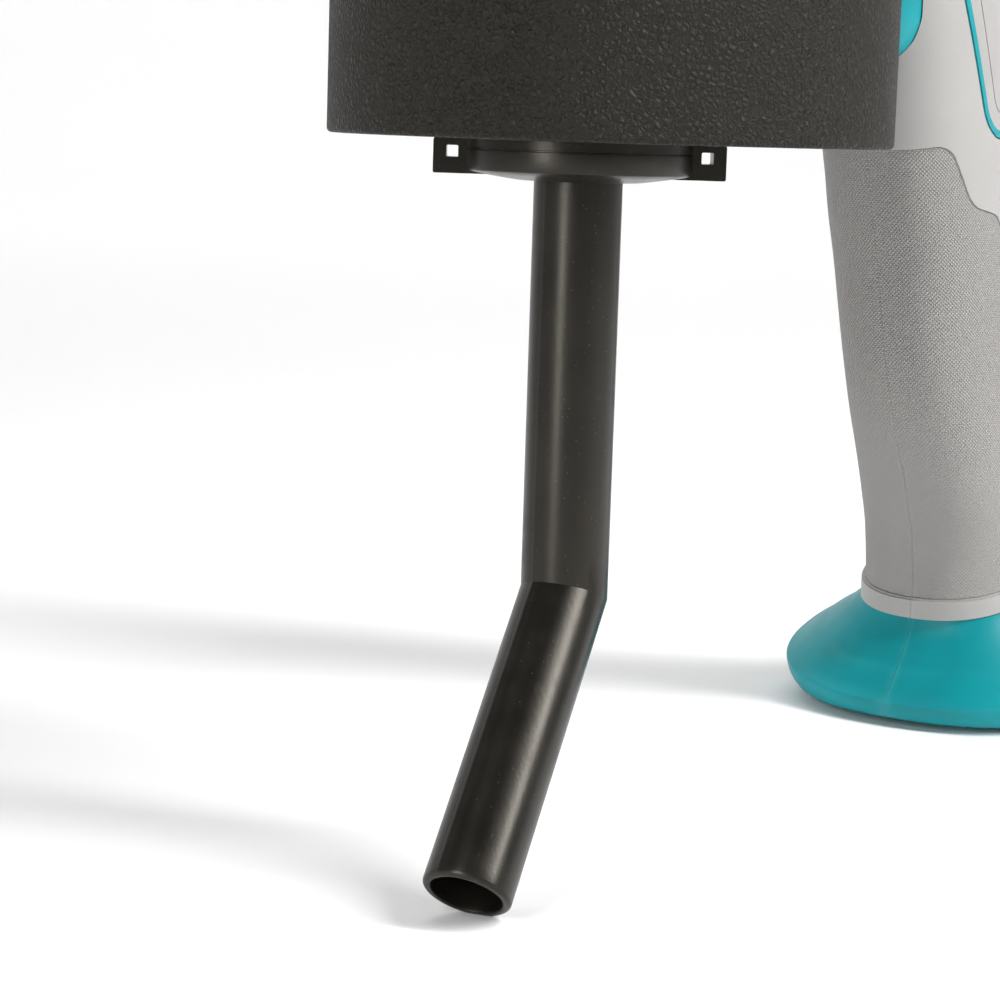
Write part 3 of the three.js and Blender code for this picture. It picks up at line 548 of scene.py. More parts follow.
def plated(name, base, roughness, streaks):
    sheet = Sheet(name, metallic=1.0, specular=0.5)
    brushed = sheet.node(
        "ShaderNodeVectorMath", {"operation": "MULTIPLY"}, (sheet.place, streaks)
    )[0]
    lines = sheet.noise(1.0, 4.0, 0.6, where=brushed)
    stain = sheet.noise(120.0, 4.0)
    tint = sheet.blend(stain.span(0.35, 0.7), tinted(base, 0.82), tinted(base, 1.05))
    return sheet.finish(tint, roughness + lines * 0.16 + stain * 0.06, lines, distance=0.00003, strength=0.5)


def steel():
    return plated("plated_steel", (0.60, 0.61, 0.63), 0.26, (900.0, 900.0, 5000.0))


def brass():
    return plated("brass", (0.78, 0.55, 0.24), 0.24, (800.0, 800.0, 4000.0))


def copper():
    return plated("copper_winding", (0.72, 0.33, 0.17), 0.30, (400.0, 400.0, 9000.0))


def black_rubber():
    sheet = Sheet("black_rubber", specular=0.35)
    pores = sheet.noise(1500.0, 3.0)
    bloom = sheet.noise(180.0, 4.0).span(0.4, 0.75)
    tint = sheet.blend(bloom, (0.012, 0.012, 0.012), (0.035, 0.034, 0.033))
    return sheet.finish(tint, 0.72 + bloom * 0.12, pores, distance=0.00006, strength=0.8)


def inner_white():
    sheet = Sheet("inner_white", specular=0.45)
    slow = sheet.noise(70.0, 3.0)
    grain = sheet.noise(1600.0, 2.0)
    tint = sheet.blend(slow.span(0.3, 0.7), (0.62, 0.60, 0.56), (0.74, 0.73, 0.70))
    return sheet.finish(tint, 0.42 + slow * 0.1, grain, distance=0.00004, strength=0.6)


def cell_wrap():
    sheet = Sheet("cell_wrap", specular=0.5, coat=0.2, coat_roughness=0.12)
    creases = sheet.noise(160.0, 5.0, 0.7)
    tint = sheet.blend(creases.span(0.4, 0.7), (0.02, 0.11, 0.34), (0.035, 0.16, 0.44))
    return sheet.finish(tint, 0.22 + creases * 0.16, creases, distance=0.00008, strength=0.5)


def board_green():
    sheet = Sheet("board_green", specular=0.5, coat=0.2)
    weave = sheet.cells(900.0, "F1", 0.1)["Distance"]
    traces = sheet.noise(420.0, 0.0).span(0.48, 0.52)
    tint = sheet.blend(traces, (0.008, 0.10, 0.04), (0.02, 0.17, 0.07))
    return sheet.finish(tint, 0.3 + weave * 0.12, traces * 0.6 + weave * 0.2, distance=0.00005, strength=0.6)


def lens_clear():
    sheet = Sheet("lens_clear", specular=0.6, coat=0.5, coat_roughness=0.05)
    haze = sheet.noise(700.0, 3.0)
    tint = sheet.blend(haze.span(0.4, 0.7), (0.45, 0.80, 0.72), (0.60, 0.92, 0.85))
    return sheet.finish(tint, 0.08 + haze * 0.08, haze, distance=0.00002, strength=0.3)


MAKERS = {
    "leather_black": leather_black,
    "moulded_black": moulded_black,
    "shell_grey": shell_grey,
    "panel_grey": panel_grey,
    "knurled_grey": knurled_grey,
    "teal_gloss": teal_gloss,
    "steel": steel,
    "brass": brass,
    "copper": copper,
    "black_rubber": black_rubber,
    "inner_white": inner_white,
    "cell_wrap": cell_wrap,
    "board_green": board_green,
    "lens_clear": lens_clear,
}


# ------------------------------------------------------------------ mesh tools, all in mm until placed
def superellipse(a, b, power, count):
    outline = []
    for i in range(count):
        angle = 2 * math.pi * i / count
        c, s = math.cos(angle), math.sin(angle)
        outline.append((
            a * math.copysign(abs(c) ** (2 / power), c),
            b * math.copysign(abs(s) ** (2 / power), s),
        ))
    return outline


def eased(rows, step):
    """Rows of a section table with smooth rows added between them; it never overshoots a row."""
    count = len(rows[0])
    slopes = [[0.0] * count for _ in rows]
    for k in range(1, len(rows) - 1):
        before, after = rows[k][0] - rows[k - 1][0], rows[k + 1][0] - rows[k][0]
        for c in range(count):
            left = (rows[k][c] - rows[k - 1][c]) / before
            right = (rows[k + 1][c] - rows[k][c]) / after
            if left * right > 0:
                weights = (2 * after + before) / left + (after + 2 * before) / right
                slopes[k][c] = 3 * (before + after) / weights
    for c in range(count):
        slopes[0][c] = (rows[1][c] - rows[0][c]) / (rows[1][0] - rows[0][0])
        slopes[-1][c] = (rows[-1][c] - rows[-2][c]) / (rows[-1][0] - rows[-2][0])
    dense = []
    for k in range(len(rows) - 1):
        gap = rows[k + 1][0] - rows[k][0]
        parts = max(1, math.ceil(gap / step))
        for i in range(parts):
            t = i / parts
            row = []
            for c in range(count):
                p0, p1 = rows[k][c], rows[k + 1][c]
                m0, m1 = slopes[k][c] * gap, slopes[k + 1][c] * gap
                row.append(
                    (2 * t**3 - 3 * t**2 + 1) * p0 + (t**3 - 2 * t**2 + t) * m0
                    + (3 * t**2 - 2 * t**3) * p1 + (t**3 - t**2) * m1
                )
            row[0] = rows[k][0] + gap * t
            dense.append(tuple(row))
    dense.append(tuple(float(v) for v in rows[-1]))
    return dense


def mesh_of(name, points, faces):
    """A mesh object from points in mm."""
    mesh = bpy.data.meshes.new(name)
    mesh.from_pydata([(x * MM, y * MM, z * MM) for x, y, z in points], [], faces)
    mesh.validate()
    work = bmesh.new()
    work.from_mesh(mesh)
    bmesh.ops.remove_doubles(work, verts=work.verts, dist=1e-7)
    bmesh.ops.recalc_face_normals(work, faces=work.faces)
    work.to_mesh(mesh)
    work.free()
    made = bpy.data.objects.new(name, mesh)
    bpy.context.scene.collection.objects.link(made)
    return made


def loft(name, rings):
    """Rings of equal length skinned together, both ends closed."""
    count = len(rings[0])
    points = [p for row in rings for p in row]
    faces = []
    for k in range(len(rings) - 1):
        for i in range(count):
            j = (i + 1) % count
            faces.append((k * count + i, k * count + j, (k + 1) * count + j, (k + 1) * count + i))
    for k in (0, len(rings) - 1):
        middle = [sum(p[c] for p in rings[k]) / count for c in range(3)]
        points.append(tuple(middle))
        hub = len(points) - 1
        for i in range(count):
            faces.append((hub, k * count + (i + 1) % count, k * count + i))
    return mesh_of(name, points, faces)


def spun(name, outline, x=0.0, y=0.0, sides=128):
    """A closed outline of (radius, height) turned about a vertical axis."""
    points, faces = [], []
    for i in range(sides):
        angle = 2 * math.pi * i / sides
        for r, z in outline:
            points.append((x + r * math.cos(angle), y + r * math.sin(angle), z))
    count = len(outline)
    for i in range(sides):
        for k in range(count):
            n = (k + 1) % count
            j = (i + 1) % sides
            faces.append((i * count + k, j * count + k, j * count + n, i * count + n))
    made = mesh_of(name, points, faces)
    work = bmesh.new()
    work.from_mesh(made.data)
    bmesh.ops.dissolve_degenerate(work, dist=1e-7, edges=work.edges)
    bmesh.ops.recalc_face_normals(work, faces=work.faces)
    work.to_mesh(made.data)
    work.free()
    return made


def prism(name, outline, low, high, along="Y"):
    """An outline pushed through from low to high: (x, z) along Y, (y, z) along X, (x, y) along Z."""
    spot = {
        "Y": lambda u, v, w: (u, w, v),
        "X": lambda u, v, w: (w, u, v),
        "Z": lambda u, v, w: (u, v, w),
    }[along]
    count = len(outline)
    points = [spot(u, v, w) for w in (low, high) for u, v in outline]
    faces = [tuple(range(count)), tuple(range(2 * count - 1, count - 1, -1))]
    for i in range(count):
        j = (i + 1) % count
        faces.append((i, j, count + j, count + i))
    return mesh_of(name, points, faces)


def block(name, x0, x1, y0, y1, z0, z1):
    return prism(name, ((x0, y0), (x1, y0), (x1, y1), (x0, y1)), z0, z1, "Z")


def rounded(outline, radius, steps=4):
    """An outline with its corners rounded."""
    made = []
    count = len(outline)
    for i in range(count):
        p0 = Vector(outline[i - 1])
        p1 = Vector(outline[i])
        p2 = Vector(outline[(i + 1) % count])
        to0, to2 = p0 - p1, p2 - p1
        reach = min(radius, to0.length * 0.45, to2.length * 0.45)
        a, b = p1 + to0.normalized() * reach, p1 + to2.normalized() * reach
        for k in range(steps + 1):
            t = k / steps
            point = a * (1 - t) ** 2 + p1 * 2 * t * (1 - t) + b * t**2
            made.append((point.x, point.y))
    return made


def grown(outline, distance):
    """An outline moved outwards by a distance."""
    area = 0.0
    count = len(outline)
    for i in range(count):
        (x, z), (u, w) = outline[i], outline[(i + 1) % count]
        area += x * w - u * z
    turn = math.copysign(1.0, area)
    made = []
    for i in range(count):
        p0, p1, p2 = Vector(outline[i - 1]), Vector(outline[i]), Vector(outline[(i + 1) % count])
        before = Vector((p1.y - p0.y, p0.x - p1.x)).normalized()
        after = Vector((p2.y - p1.y, p1.x - p2.x)).normalized()
        mean = (before + after).normalized()
        reach = turn * distance / max(0.5, mean.dot(after))
        made.append((p1.x + mean.x * reach, p1.y + mean.y * reach))
    return made


def plinth(name, x, z, half_x, half_z, corner, steps):
    """A rounded block standing along Y. Each step is (y, how far the outline is drawn in)."""
    rings = []
    for y, drawn_in in steps:
        u, v = half_x - drawn_in, half_z - drawn_in
        corners = ((x - u, z - v), (x + u, z - v), (x + u, z + v), (x - u, z + v))
        shape = rounded(corners, max(0.12, corner - drawn_in))
        rings.append([(px, y, pz) for px, pz in shape])
    return loft(name, rings)


def apply_modifiers(made):
    bpy.context.view_layer.update()
    graph = bpy.context.evaluated_depsgraph_get()
    mesh = bpy.data.meshes.new_from_object(made.evaluated_get(graph))
    made.modifiers.clear()
    old = made.data
    made.data = mesh
    bpy.data.meshes.remove(old)


def combine(base, tool, operation="DIFFERENCE"):
    """Joins, cuts or keeps the common part of two solids. The tool is used up."""
    step = base.modifiers.new("combine", "BOOLEAN")
    step.operation = operation
    step.solver = "EXACT"
    step.object = tool
    apply_modifiers(base)
    bpy.data.objects.remove(tool)
    if not base.data.polygons:
        raise RuntimeError(f"{base.name} has nothing left after a {operation.lower()}")
    return base


def together(name, parts):
    """Several solids that don't meet, as one object."""
    points, faces = [], []
    for part in parts:
        start = len(points)
        points.extend(tuple(v.co / MM) for v in part.data.vertices)
        faces.extend(tuple(start + i for i in p.vertices) for p in part.data.polygons)
        bpy.data.objects.remove(part)
    mesh = bpy.data.meshes.new(name)
    mesh.from_pydata([(x * MM, y * MM, z * MM) for x, y, z in points], [], faces)
    made = bpy.data.objects.new(name, mesh)
    bpy.context.scene.collection.objects.link(made)
    return made


def twin(made, name):
    other = bpy.data.objects.new(name, made.data.copy())
    bpy.context.scene.collection.objects.link(other)
    return other


def smooth(made, degrees=32.0):
    """Smooth shading with crisp edges where faces meet sharply."""
    work = bmesh.new()
    work.from_mesh(made.data)
    bmesh.ops.remove_doubles(work, verts=work.verts, dist=2e-6)
    bmesh.ops.dissolve_degenerate(work, dist=2e-6, edges=work.edges)
    limit = math.radians(degrees)
    for face in work.faces:
        face.smooth = True
    for edge in work.edges:
        edge.smooth = len(edge.link_faces) != 2 or edge.calc_face_angle(0.0) < limit
    work.to_mesh(made.data)
    work.free()
    return made


def place(made, name, body, material, slot, *nodes, degrees=32.0):
    """Names a finished piece, gives it its material and puts it on its body."""
    made.name = name
    made.data.name = name
    smooth(made, degrees)
    made.data.materials.clear()
    made.data.materials.append(finish(material))
    for polygon in made.data.polygons:
        polygon.material_index = 0
    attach(made, body)
    if nodes:
        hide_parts(*nodes)
    return made


def repaint(node, material):
    """Gives a CAD node that stays in view its material."""
    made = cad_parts[node]
    made.data.materials.clear()
    made.data.materials.append(finish(material))
    made.data.shade_smooth()
    made.data.set_sharp_from_angle(angle=math.radians(30))


# ------------------------------------------------------------------ case volumes
def grip_volume(t, low=18.0, high=244.0):
    rows = [row for row in eased(GRIP, 3.0) if low - 0.01 <= row[0] <= high + 0.01]
    return loft("grip", [
        [(front - a + u, v, z) for u, v in superellipse(a + t, b + t, 2.3, 112)]
        for z, front, a, b in rows
    ])


def bridge_volume(t):
    rings = []
    for i, (x, middle, h, b) in enumerate(eased(BRIDGE, 2.5)):
        shift = -t if i == 0 else 0.0
        rings.append([(x + shift, v, middle + u) for u, v in superellipse(h + t, b + t, 2.6, 96)])
    return loft("bridge", rings)


def dome_outline(t):
    upper = eased([(z, r) for r, z in DOME[1:]], 1.5)
    outline = [(DOME[0][0] + t, DOME[0][1] - (1.0 if t < 0 else 0.0))]
    top = DOME[-1][1]
    for z, r in upper:
        near_top = max(0.0, min(1.0, (z - 276.0) / (top - 276.0)))
        outline.append((r + t, z + t * near_top))
    return [(0.0, outline[0][1]), *outline, (0.0, outline[-1][1])]


def dome_volume(t):
    return spun("dome", dome_outline(t), DRUM_X, sides=144)


def foot_volume(t):
    rings = []
    for z, front, rear, b, share in eased(FOOT, 1.0):
        ring = []
        for u, v in superellipse((front - rear) / 2 + t, b + t, 2.3, 144):
            x = (front + rear) / 2 + u
            ring.append((x, v, z + (front - x) * math.tan(math.radians(NECK_TILT)) * share))
        rings.append(ring)
    return loft("foot", rings)


def neck_height(x, lift):
    return NECK_Z + lift + (NECK_X - x) * math.tan(math.radians(NECK_TILT))


def above_neck(lift):
    return prism("above", (
        (-80, neck_height(-80, lift)), (140, neck_height(140, lift)), (140, 330), (-80, 330),
    ), -70, 70)


def below_neck(lift):
    return prism("below", (
        (-80, neck_height(-80, lift)), (-80, -30), (140, -30), (140, neck_height(140, lift)),
    ), -70, 70)


def half_space(side):
    gap = sizes().seam / MM / 2
    low, high = (gap, 130) if side > 0 else (-130, -gap)
    return block("half", -130, 330, low, high, -70, 350)


def halves(whole, name, body, material, slot, nodes, degrees=32.0):
    """Splits a solid on the centre plane and places both halves. Nodes are named for left, then right."""
    other = twin(whole, "other")
    for made, side, word, node in ((whole, 1, "left", nodes[0]), (other, -1, "right", nodes[1])):
        combine(made, half_space(side), "INTERSECT")
        place(made, f"{name}_{word}", body, material, slot, node, degrees=degrees)


# ------------------------------------------------------------------ operators
class BuildHousing(Operator):
    """Builds the two case halves: grip, bridge and motor dome"""

    bl_idname = "blower.housing"
    bl_label = "Case halves"

    def execute(self, context):
        outer = combine(grip_volume(0), above_neck(0.15), "INTERSECT")
        band = combine(grip_volume(0.7, 18, 57), above_neck(0.15), "INTERSECT")
        band = combine(band, below_neck(5), "INTERSECT")
        combine(outer, band, "UNION")
        drum_room = ((0, 200), (DRUM_R + 0.3, 200), (DRUM_R + 0.3, 225.1), (0, 225.1))
        combine(outer, combine(bridge_volume(0), spun("clear", drum_room, DRUM_X)), "UNION")
        combine(outer, dome_volume(0), "UNION")
        combine(outer, grip_volume(-WALL))
        combine(outer, bridge_volume(-WALL))
        inner_dome = combine(dome_volume(-WALL), spun(
            "bore", ((0, 200), (57.4, 200), (57.4, 330), (0, 330)), DRUM_X), "INTERSECT")
        combine(outer, inner_dome)
        combine(outer, spun("lip", drum_room, DRUM_X))
        for volume, spots in (
            (grip_volume(-0.8), SCREWS[3:4]),
            (bridge_volume(-0.8), SCREWS[:3]),
            (dome_volume(-0.8), SCREWS[4:]),
        ):
            combine(volume, together("pillars", [
                prism("pillar", disc(x, z, 4.8, 24), -70, 70)
                for x, z in spots
            ]), "INTERSECT")
            combine(outer, volume, "UNION")
        cuts = []
        for x, z in SCREWS:
            cuts.append(prism("head", disc(x, z, 3.7, 32), -70, -9))
        combine(outer, together("heads", cuts))
        cuts = [
            prism("shank", disc(x, z, 1.7, 20), -12, 10.6)
            for x, z in SCREWS
        ]
        combine(outer, together("shanks", cuts))
        combine(outer, trigger_room())
        vents = []
        for side in (-1, 1):
            for i in range(5):
                angle = math.radians(side * (62 + i * 11))
                shape = rounded(((-1.5, 254), (1.5, 254), (1.5, 274), (-1.5, 274)), 1.4)
                slot = prism("slot", shape, 30, 70, "X")
                slot.data.transform(Matrix.Translation((DRUM_X * MM, 0, 0)) @ Matrix.Rotation(angle, 4, "Z"))
                vents.append(slot)
        combine(outer, together("vents", vents))
        openings = [
            prism("dial_slot", rounded((
                (DIAL_X - 13, -5.6), (DIAL_X + 13, -5.6), (DIAL_X + 13, 5.6), (DIAL_X - 13, 5.6),
            ), 1.6), DIAL_Z - 13, 290, "Z"),
            spun("grille_seat", ((0, 284), (32.8, 284), (32.8, 300), (0, 300)), DRUM_X),
            spun("lens_hole", ((0, 255), (2.25, 255), (2.25, 280), (0, 280)), 52, sides=40),
            prism("button_hole", disc(0, BUTTON_Z, 8.3, 64), 10, 40, "X"),
        ]
        combine(outer, together("openings", openings))
        pad_room = combine(grip_volume(2, 18, 170), grip_volume(-1.45, 18, 200))
        combine(pad_room, prism("pad_edge", rounded(grown(SKIN_EDGE, 0.14), 2.1), -60, 60), "INTERSECT")
        combine(outer, pad_room)
        panel_room = combine(flank(2), flank(-1.45))
        outline = rounded(grown(PANEL, 2.1), 4.0)
        combine(panel_room, together("panel_edge", [
            prism("edge", outline, 9, 60), prism("edge", outline, -60, -9),
        ]), "INTERSECT")
        combine(outer, panel_room)
        halves(outer, "case", "housing", "shell_grey", "shell_grey", ("body_shell_left", "body_shell_right"))
        return {"FINISHED"}


def arc(count):
    return [2 * math.pi * i / count for i in range(count)]


def disc(across, up, radius, count):
    """A round outline about a centre."""
    return [(across + radius * math.cos(a), up + radius * math.sin(a)) for a in arc(count)]


def flank(t):
    return combine(grip_volume(t), bridge_volume(t), "UNION")


def trigger_room():
    side = prism("room", rounded((
        (63, 167.8), (80, 167.8), (100, 172), (100, 219.8), (72.5, 219.8), (70, 210), (66, 196), (62.6, 176),
    ), 1.5), -16, 16)
    face = prism("face", rounded((
        (-5, 168.4), (5, 168.4), (9.5, 170.2), (12.9, 174.2), (14.6, 179.5), (15.0, 186), (15.0, 232),
        (-15.0, 232), (-15.0, 186), (-14.6, 179.5), (-12.9, 174.2), (-9.5, 170.2),
    ), 2.0), 40, 110, "X")
    return combine(side, face, "INTERSECT")


class BuildGripPads(Operator):
    """Builds the textured skins on both sides of the grip"""

    bl_idname = "blower.grip_pads"
    bl_label = "Grip texture"

    def execute(self, context):
        skin = combine(grip_volume(-0.32, 18, 170), grip_volume(-1.3, 18, 200))
        combine(skin, prism("edge", rounded(SKIN_EDGE, 2.0), -60, 60), "INTERSECT")
        halves(
            skin, "grip_texture", "housing", "knurled_grey", "pad_grey",
            ("grip_pad_left", "grip_pad_right"),
        )
        return {"FINISHED"}


class BuildFlanks(Operator):
    """Builds the lighter flank panels and the teal line round them"""

    bl_idname = "blower.flanks"
    bl_label = "Flank panels and trim"

    def execute(self, context):
        panel = combine(flank(0.1), flank(-1.15))
        trim = combine(flank(0.32), flank(-1.15))
        inner, outer = rounded(PANEL, 3.6), rounded(grown(PANEL, 1.8), 4.2)
        combine(panel, together("panel_edge", [
            prism("edge", inner, 9.3, 60), prism("edge", inner, -60, -9.3),
        ]), "INTERSECT")
        groove_out = rounded(grown(PANEL, -4.2), 3.0)
        groove_in = rounded(grown(PANEL, -4.6), 2.8)
        ridge = combine(prism("groove", groove_out, -60, 60), prism("inside", groove_in, -61, 61))
        shallow = combine(flank(1.5), flank(-0.25))
        combine(ridge, shallow, "INTERSECT")
        combine(panel, ridge)
        combine(trim, together("trim_edge", [
            prism("edge", outer, 9.3, 60), prism("edge", outer, -60, -9.3),
        ]), "INTERSECT")
        combine(trim, prism("gap", rounded(grown(PANEL, 0.25), 3.7), -61, 61))
        halves(
            panel, "flank_panel", "housing", "panel_grey", "panel_grey",
            ("side_panel_left", "side_panel_right"),
        )
        halves(
            trim, "flank_trim", "housing", "teal_gloss", "teal_plastic",
            ("side_trim_left", "side_trim_right"),
        )
        return {"FINISHED"}


class BuildFoot(Operator):
    """Builds the flared teal foot in two halves"""

    bl_idname = "blower.foot"
    bl_label = "Foot"

    def execute(self, context):
        foot = combine(foot_volume(0), below_neck(-0.15), "INTERSECT")
        hollow = combine(foot_volume(-2.4), block("floor", -80, 80, -80, 80, 3, 60), "INTERSECT")
        combine(foot, hollow)
        combine(foot, sheared_plate(27.5, 29.5, -2, 3.6))
        hole = rounded((
            (LATCH_X - 9.4, LATCH_Z - 4.4), (LATCH_X + 9.4, LATCH_Z - 4.4),
            (LATCH_X + 9.4, LATCH_Z + 4.4), (LATCH_X - 9.4, LATCH_Z + 4.4),
        ), 1.6)
        combine(foot, together("latch_holes", [prism("hole", hole, 33, 60), prism("hole", hole, -60, -33)]))
        halves(foot, "foot", "housing", "teal_gloss", "teal_plastic", ("foot_left", "foot_right"))
        return {"FINISHED"}


def sheared_plate(a, b, z0, z1, edge=0.0):
    """A flat plate whose sides follow the battery's rake."""
    lean = math.tan(math.radians(RAKE))
    rows = [(z0, -edge), (z0 + edge, 0.0), (z1, 0.0)] if edge else [(z0, 0.0), (z1, 0.0)]
    return loft("plate", [
        [(u + z * lean, v, z) for u, v in superellipse(a + t, b + t, 3.2, 112)] for z, t in rows
    ])


class BuildBattery(Operator):
    """Builds the battery's base plate and paints the pack inside the grip"""

    bl_idname = "blower.battery"
    bl_label = "Battery"

    def execute(self, context):
        plate = sheared_plate(27, 29, 0, 3, 0.5)
        riser = loft("riser", [
            [(u, v, z) for u, v in superellipse(11.6, 11.6, 4, 64)] for z in (1.5, 6.7)
        ])
        riser.data.transform(Matrix.Rotation(math.radians(RAKE), 4, "Y"))
        combine(riser, block("above", -60, 60, -60, 60, 1.2, 30), "INTERSECT")
        combine(plate, riser, "UNION")
        grooves = []
        for dx in (-21, -17.5, 17.5, 21):
            grooves.append(prism("groove", rounded((
                (dx - 0.8, -14), (dx + 0.8, -14), (dx + 0.8, 14), (dx - 0.8, 14),
            ), 0.7), -1, 0.7, "Z"))
        combine(plate, together("grooves", grooves))
        place(plate, "battery_plate", "battery", "moulded_black", "black_plastic", "battery_base")
        repaint("battery_case", "moulded_black")
        repaint("cell_lower", "cell_wrap")
        repaint("cell_upper", "cell_wrap")
        repaint("battery_contacts", "brass")
        repaint("contact_receiver", "inner_white")
        return {"FINISHED"}


class BuildLatches(Operator):
    """Builds the two ridged latch buttons on the foot"""

    bl_idname = "blower.latches"
    bl_label = "Latch buttons"

    def execute(self, context):
        for side, word in ((1, "left"), (-1, "right")):
            button = plinth("button", LATCH_X, LATCH_Z, 9, 4, 1.6, [
                (y * side, t) for y, t in ((32.0, 0), (42.9, 0), (43.5, 0.2), (43.9, 0.6), (44.0, 1.1))
            ])
            combine(button, block(
                "flange", LATCH_X - 10.6, LATCH_X + 10.6,
                min(31.2 * side, 32.8 * side), max(31.2 * side, 32.8 * side),
                LATCH_Z - 5, LATCH_Z + 5,
            ), "UNION")
            ridges = [
                plinth("ridge", LATCH_X + dx, LATCH_Z, 0.75, 2.7, 0.5, [
                    (y * side, t) for y, t in ((43.2, 0), (44.2, 0), (44.45, 0.12), (44.6, 0.35))
                ])
                for dx in (-4.5, -1.5, 1.5, 4.5)
            ]
            combine(button, together("ridges", ridges), "UNION")
            place(
                button, f"latch_{word}", f"latch_{word}", "moulded_black", "black_plastic",
                f"latch_button_{word}",
            )
            repaint(f"latch_spring_{word}", "steel")
        return {"FINISHED"}


class BuildTrigger(Operator):
    """Builds the rounded trigger paddle"""

    bl_idname = "blower.trigger"
    bl_label = "Trigger"

    def execute(self, context):
        # height, front, back, half width
        rows = eased((
            (169.0, 78.4, 72.8, 4.8),
            (169.5, 79.4, 71.6, 7.0),
            (170.8, 80.6, 70.6, 9.6),
            (172.6, 81.8, 70.0, 11.4),
            (174.8, 83.2, 69.8, 12.7),
            (179.6, 85.2, 69.6, 14.2),
            (186, 86.8, 69.6, 14.6),
            (197, 87.4, 70.2, 14.6),
            (206, 87.2, 71.6, 14.6),
            (213, 86.2, 73.4, 14.5),
            (217.2, 84.0, 75.0, 14.2),
        ), 0.9)
        middle = 76.4
        rings = []
        for z, front, back, half in rows:
            nose, heel = superellipse(front - middle, half, 2.9, 96), superellipse(middle - back, half, 9, 96)
            rings.append([(middle + u, v, z) for u, v in (n if n[0] >= 0 else h for n, h in zip(nose, heel))])
        paddle = loft("paddle", rings)
        hollow = prism("hollow", (
            (60, 174), (75.2, 176.5), (79.4, 188), (80.4, 206), (60, 206),
        ), -10.4, 10.4)
        combine(paddle, hollow)
        combine(paddle, block("fork", 60, 84.0, -5.2, 5.2, 208, 222))
        combine(paddle, together("ends", [
            block("end", 60, 84.0, 11.8, 20, 207, 222), block("end", 60, 84.0, -20, -11.8, 207, 222),
        ]))
        combine(paddle, prism("pin", disc(PIN[0], PIN[1], 1.6, 24), -20, 20))
        place(paddle, "trigger_paddle", "trigger", "teal_gloss", "teal_plastic", "trigger", degrees=38)
        repaint("trigger_pin", "steel")
        repaint("trigger_spring", "steel")
        repaint("switch_module", "moulded_black")
        return {"FINISHED"}


class BuildControls(Operator):
    """Builds the speed dial, the boost button and the charge lens"""

    bl_idname = "blower.controls"
    bl_label = "Dial, boost button and lens"

    def execute(self, context):
        rings = []
        count, notches = 216, 18
        for y, t in ((-4.8, -0.7), (-4.6, -0.3), (-4.1, 0.0), (4.1, 0.0), (4.6, -0.3), (4.8, -0.7)):
            ring = []
            for a in arc(count):
                depth = max(0.0, math.cos(a * notches)) ** 2.2
                r = 12.0 + t - 1.15 * depth
                ring.append((DIAL_X + r * math.cos(a), y, DIAL_Z + r * math.sin(a)))
            rings.append(ring)
        dial = loft("dial", rings)
        combine(dial, prism(
            "axle", disc(DIAL_X, DIAL_Z, 2, 32), -8.9, 8.9
        ), "UNION")
        place(dial, "dial_wheel", "dial", "moulded_black", "black_plastic", "speed_dial")
        profile = (
            (22.9, 0.0), (22.75, 3.0), (22.7, 5.6), (22.9, 7.0), (23.4, 7.75), (24.2, 8.0), (32.4, 8.0),
        )
        rings = [
            [(x, r * math.cos(a), BUTTON_Z + r * math.sin(a)) for a in arc(72)]
            for x, r in profile if r > 0
        ]
        button = loft("boost", rings)
        combine(button, prism(
            "flange", disc(0, BUTTON_Z, 9.8, 48), 32.0, 34.6, "X"
        ), "UNION")
        ring_groove = combine(
            prism("ring", disc(0, BUTTON_Z, 5.2, 64), 20, 23.2, "X"),
            prism("hub", disc(0, BUTTON_Z, 4.5, 64), 19, 24, "X"),
        )
        combine(button, ring_groove)
        place(button, "boost_cap", "boost", "teal_gloss", "teal_plastic", "boost_button")
        top = LENS_HIGH.z / MM
        lens = spun("lens", (
            (0, 262), (2.0, 262), (2.0, top - 0.5), (1.8, top - 0.2), (1.3, top - 0.05), (0.7, top), (0, top),
        ), 52, sides=48)
        place(lens, "charge_light", "housing", "lens_clear", "lens_clear", "charge_lens")
        repaint("boost_spring", "steel")
        repaint("boost_switch", "moulded_black")
        repaint("controller_board", "board_green")
        return {"FINISHED"}


class BuildDrum(Operator):
    """Builds the grained fan drum"""

    bl_idname = "blower.drum"
    bl_label = "Fan drum"

    def execute(self, context):
        inner = DRUM_R - 2.4
        floor = DRUM_FLOOR
        outline = [(0, floor + 0.5), (26.0, floor + 0.5), (26.6, floor)]
        for k in range(7):
            angle = math.radians(-90 + 15 * k)
            outline.append((DRUM_R - 1.0 + math.cos(angle), floor + 1.0 + math.sin(angle)))
        height = floor + 1.0
        while height < DRUM_RIM - 3:
            height += 3.0
            outline.append((DRUM_R, height))
        outline += [
            (DRUM_R, DRUM_RIM), (inner, DRUM_RIM), (inner, floor + 4), (inner - 1.2, floor + 2.8),
            (0, floor + 2.8),
        ]
        drum = spun("drum", outline, DRUM_X, sides=220)
        spigot = spun("spigot", (
            (0, 144.4), (11.9, 144.4), (12.5, 145.0), (12.5, 151), (0, 151),
        ), TUBE_X, sides=96)
        combine(drum, spigot, "UNION")
        combine(drum, spun("outlet", ((0, 140), (9, 140), (9, 160), (0, 160)), TUBE_X, sides=96))
        bosses = []
        for degrees in (60, 180, 300):
            x = DRUM_X + (DRUM_R - 7.5) * math.cos(math.radians(degrees))
            y = (DRUM_R - 7.5) * math.sin(math.radians(degrees))
            bosses.append(spun(
                "boss", ((1.65, 200), (5.6, 200), (5.6, DRUM_RIM), (1.65, DRUM_RIM)), x, y, sides=32
            ))
        combine(drum, together("bosses", bosses), "UNION")
        place(drum, "fan_drum", "housing", "leather_black", "black_grained", "drum_shell")
        repaint("drum_cover", "moulded_black")
        return {"FINISHED"}


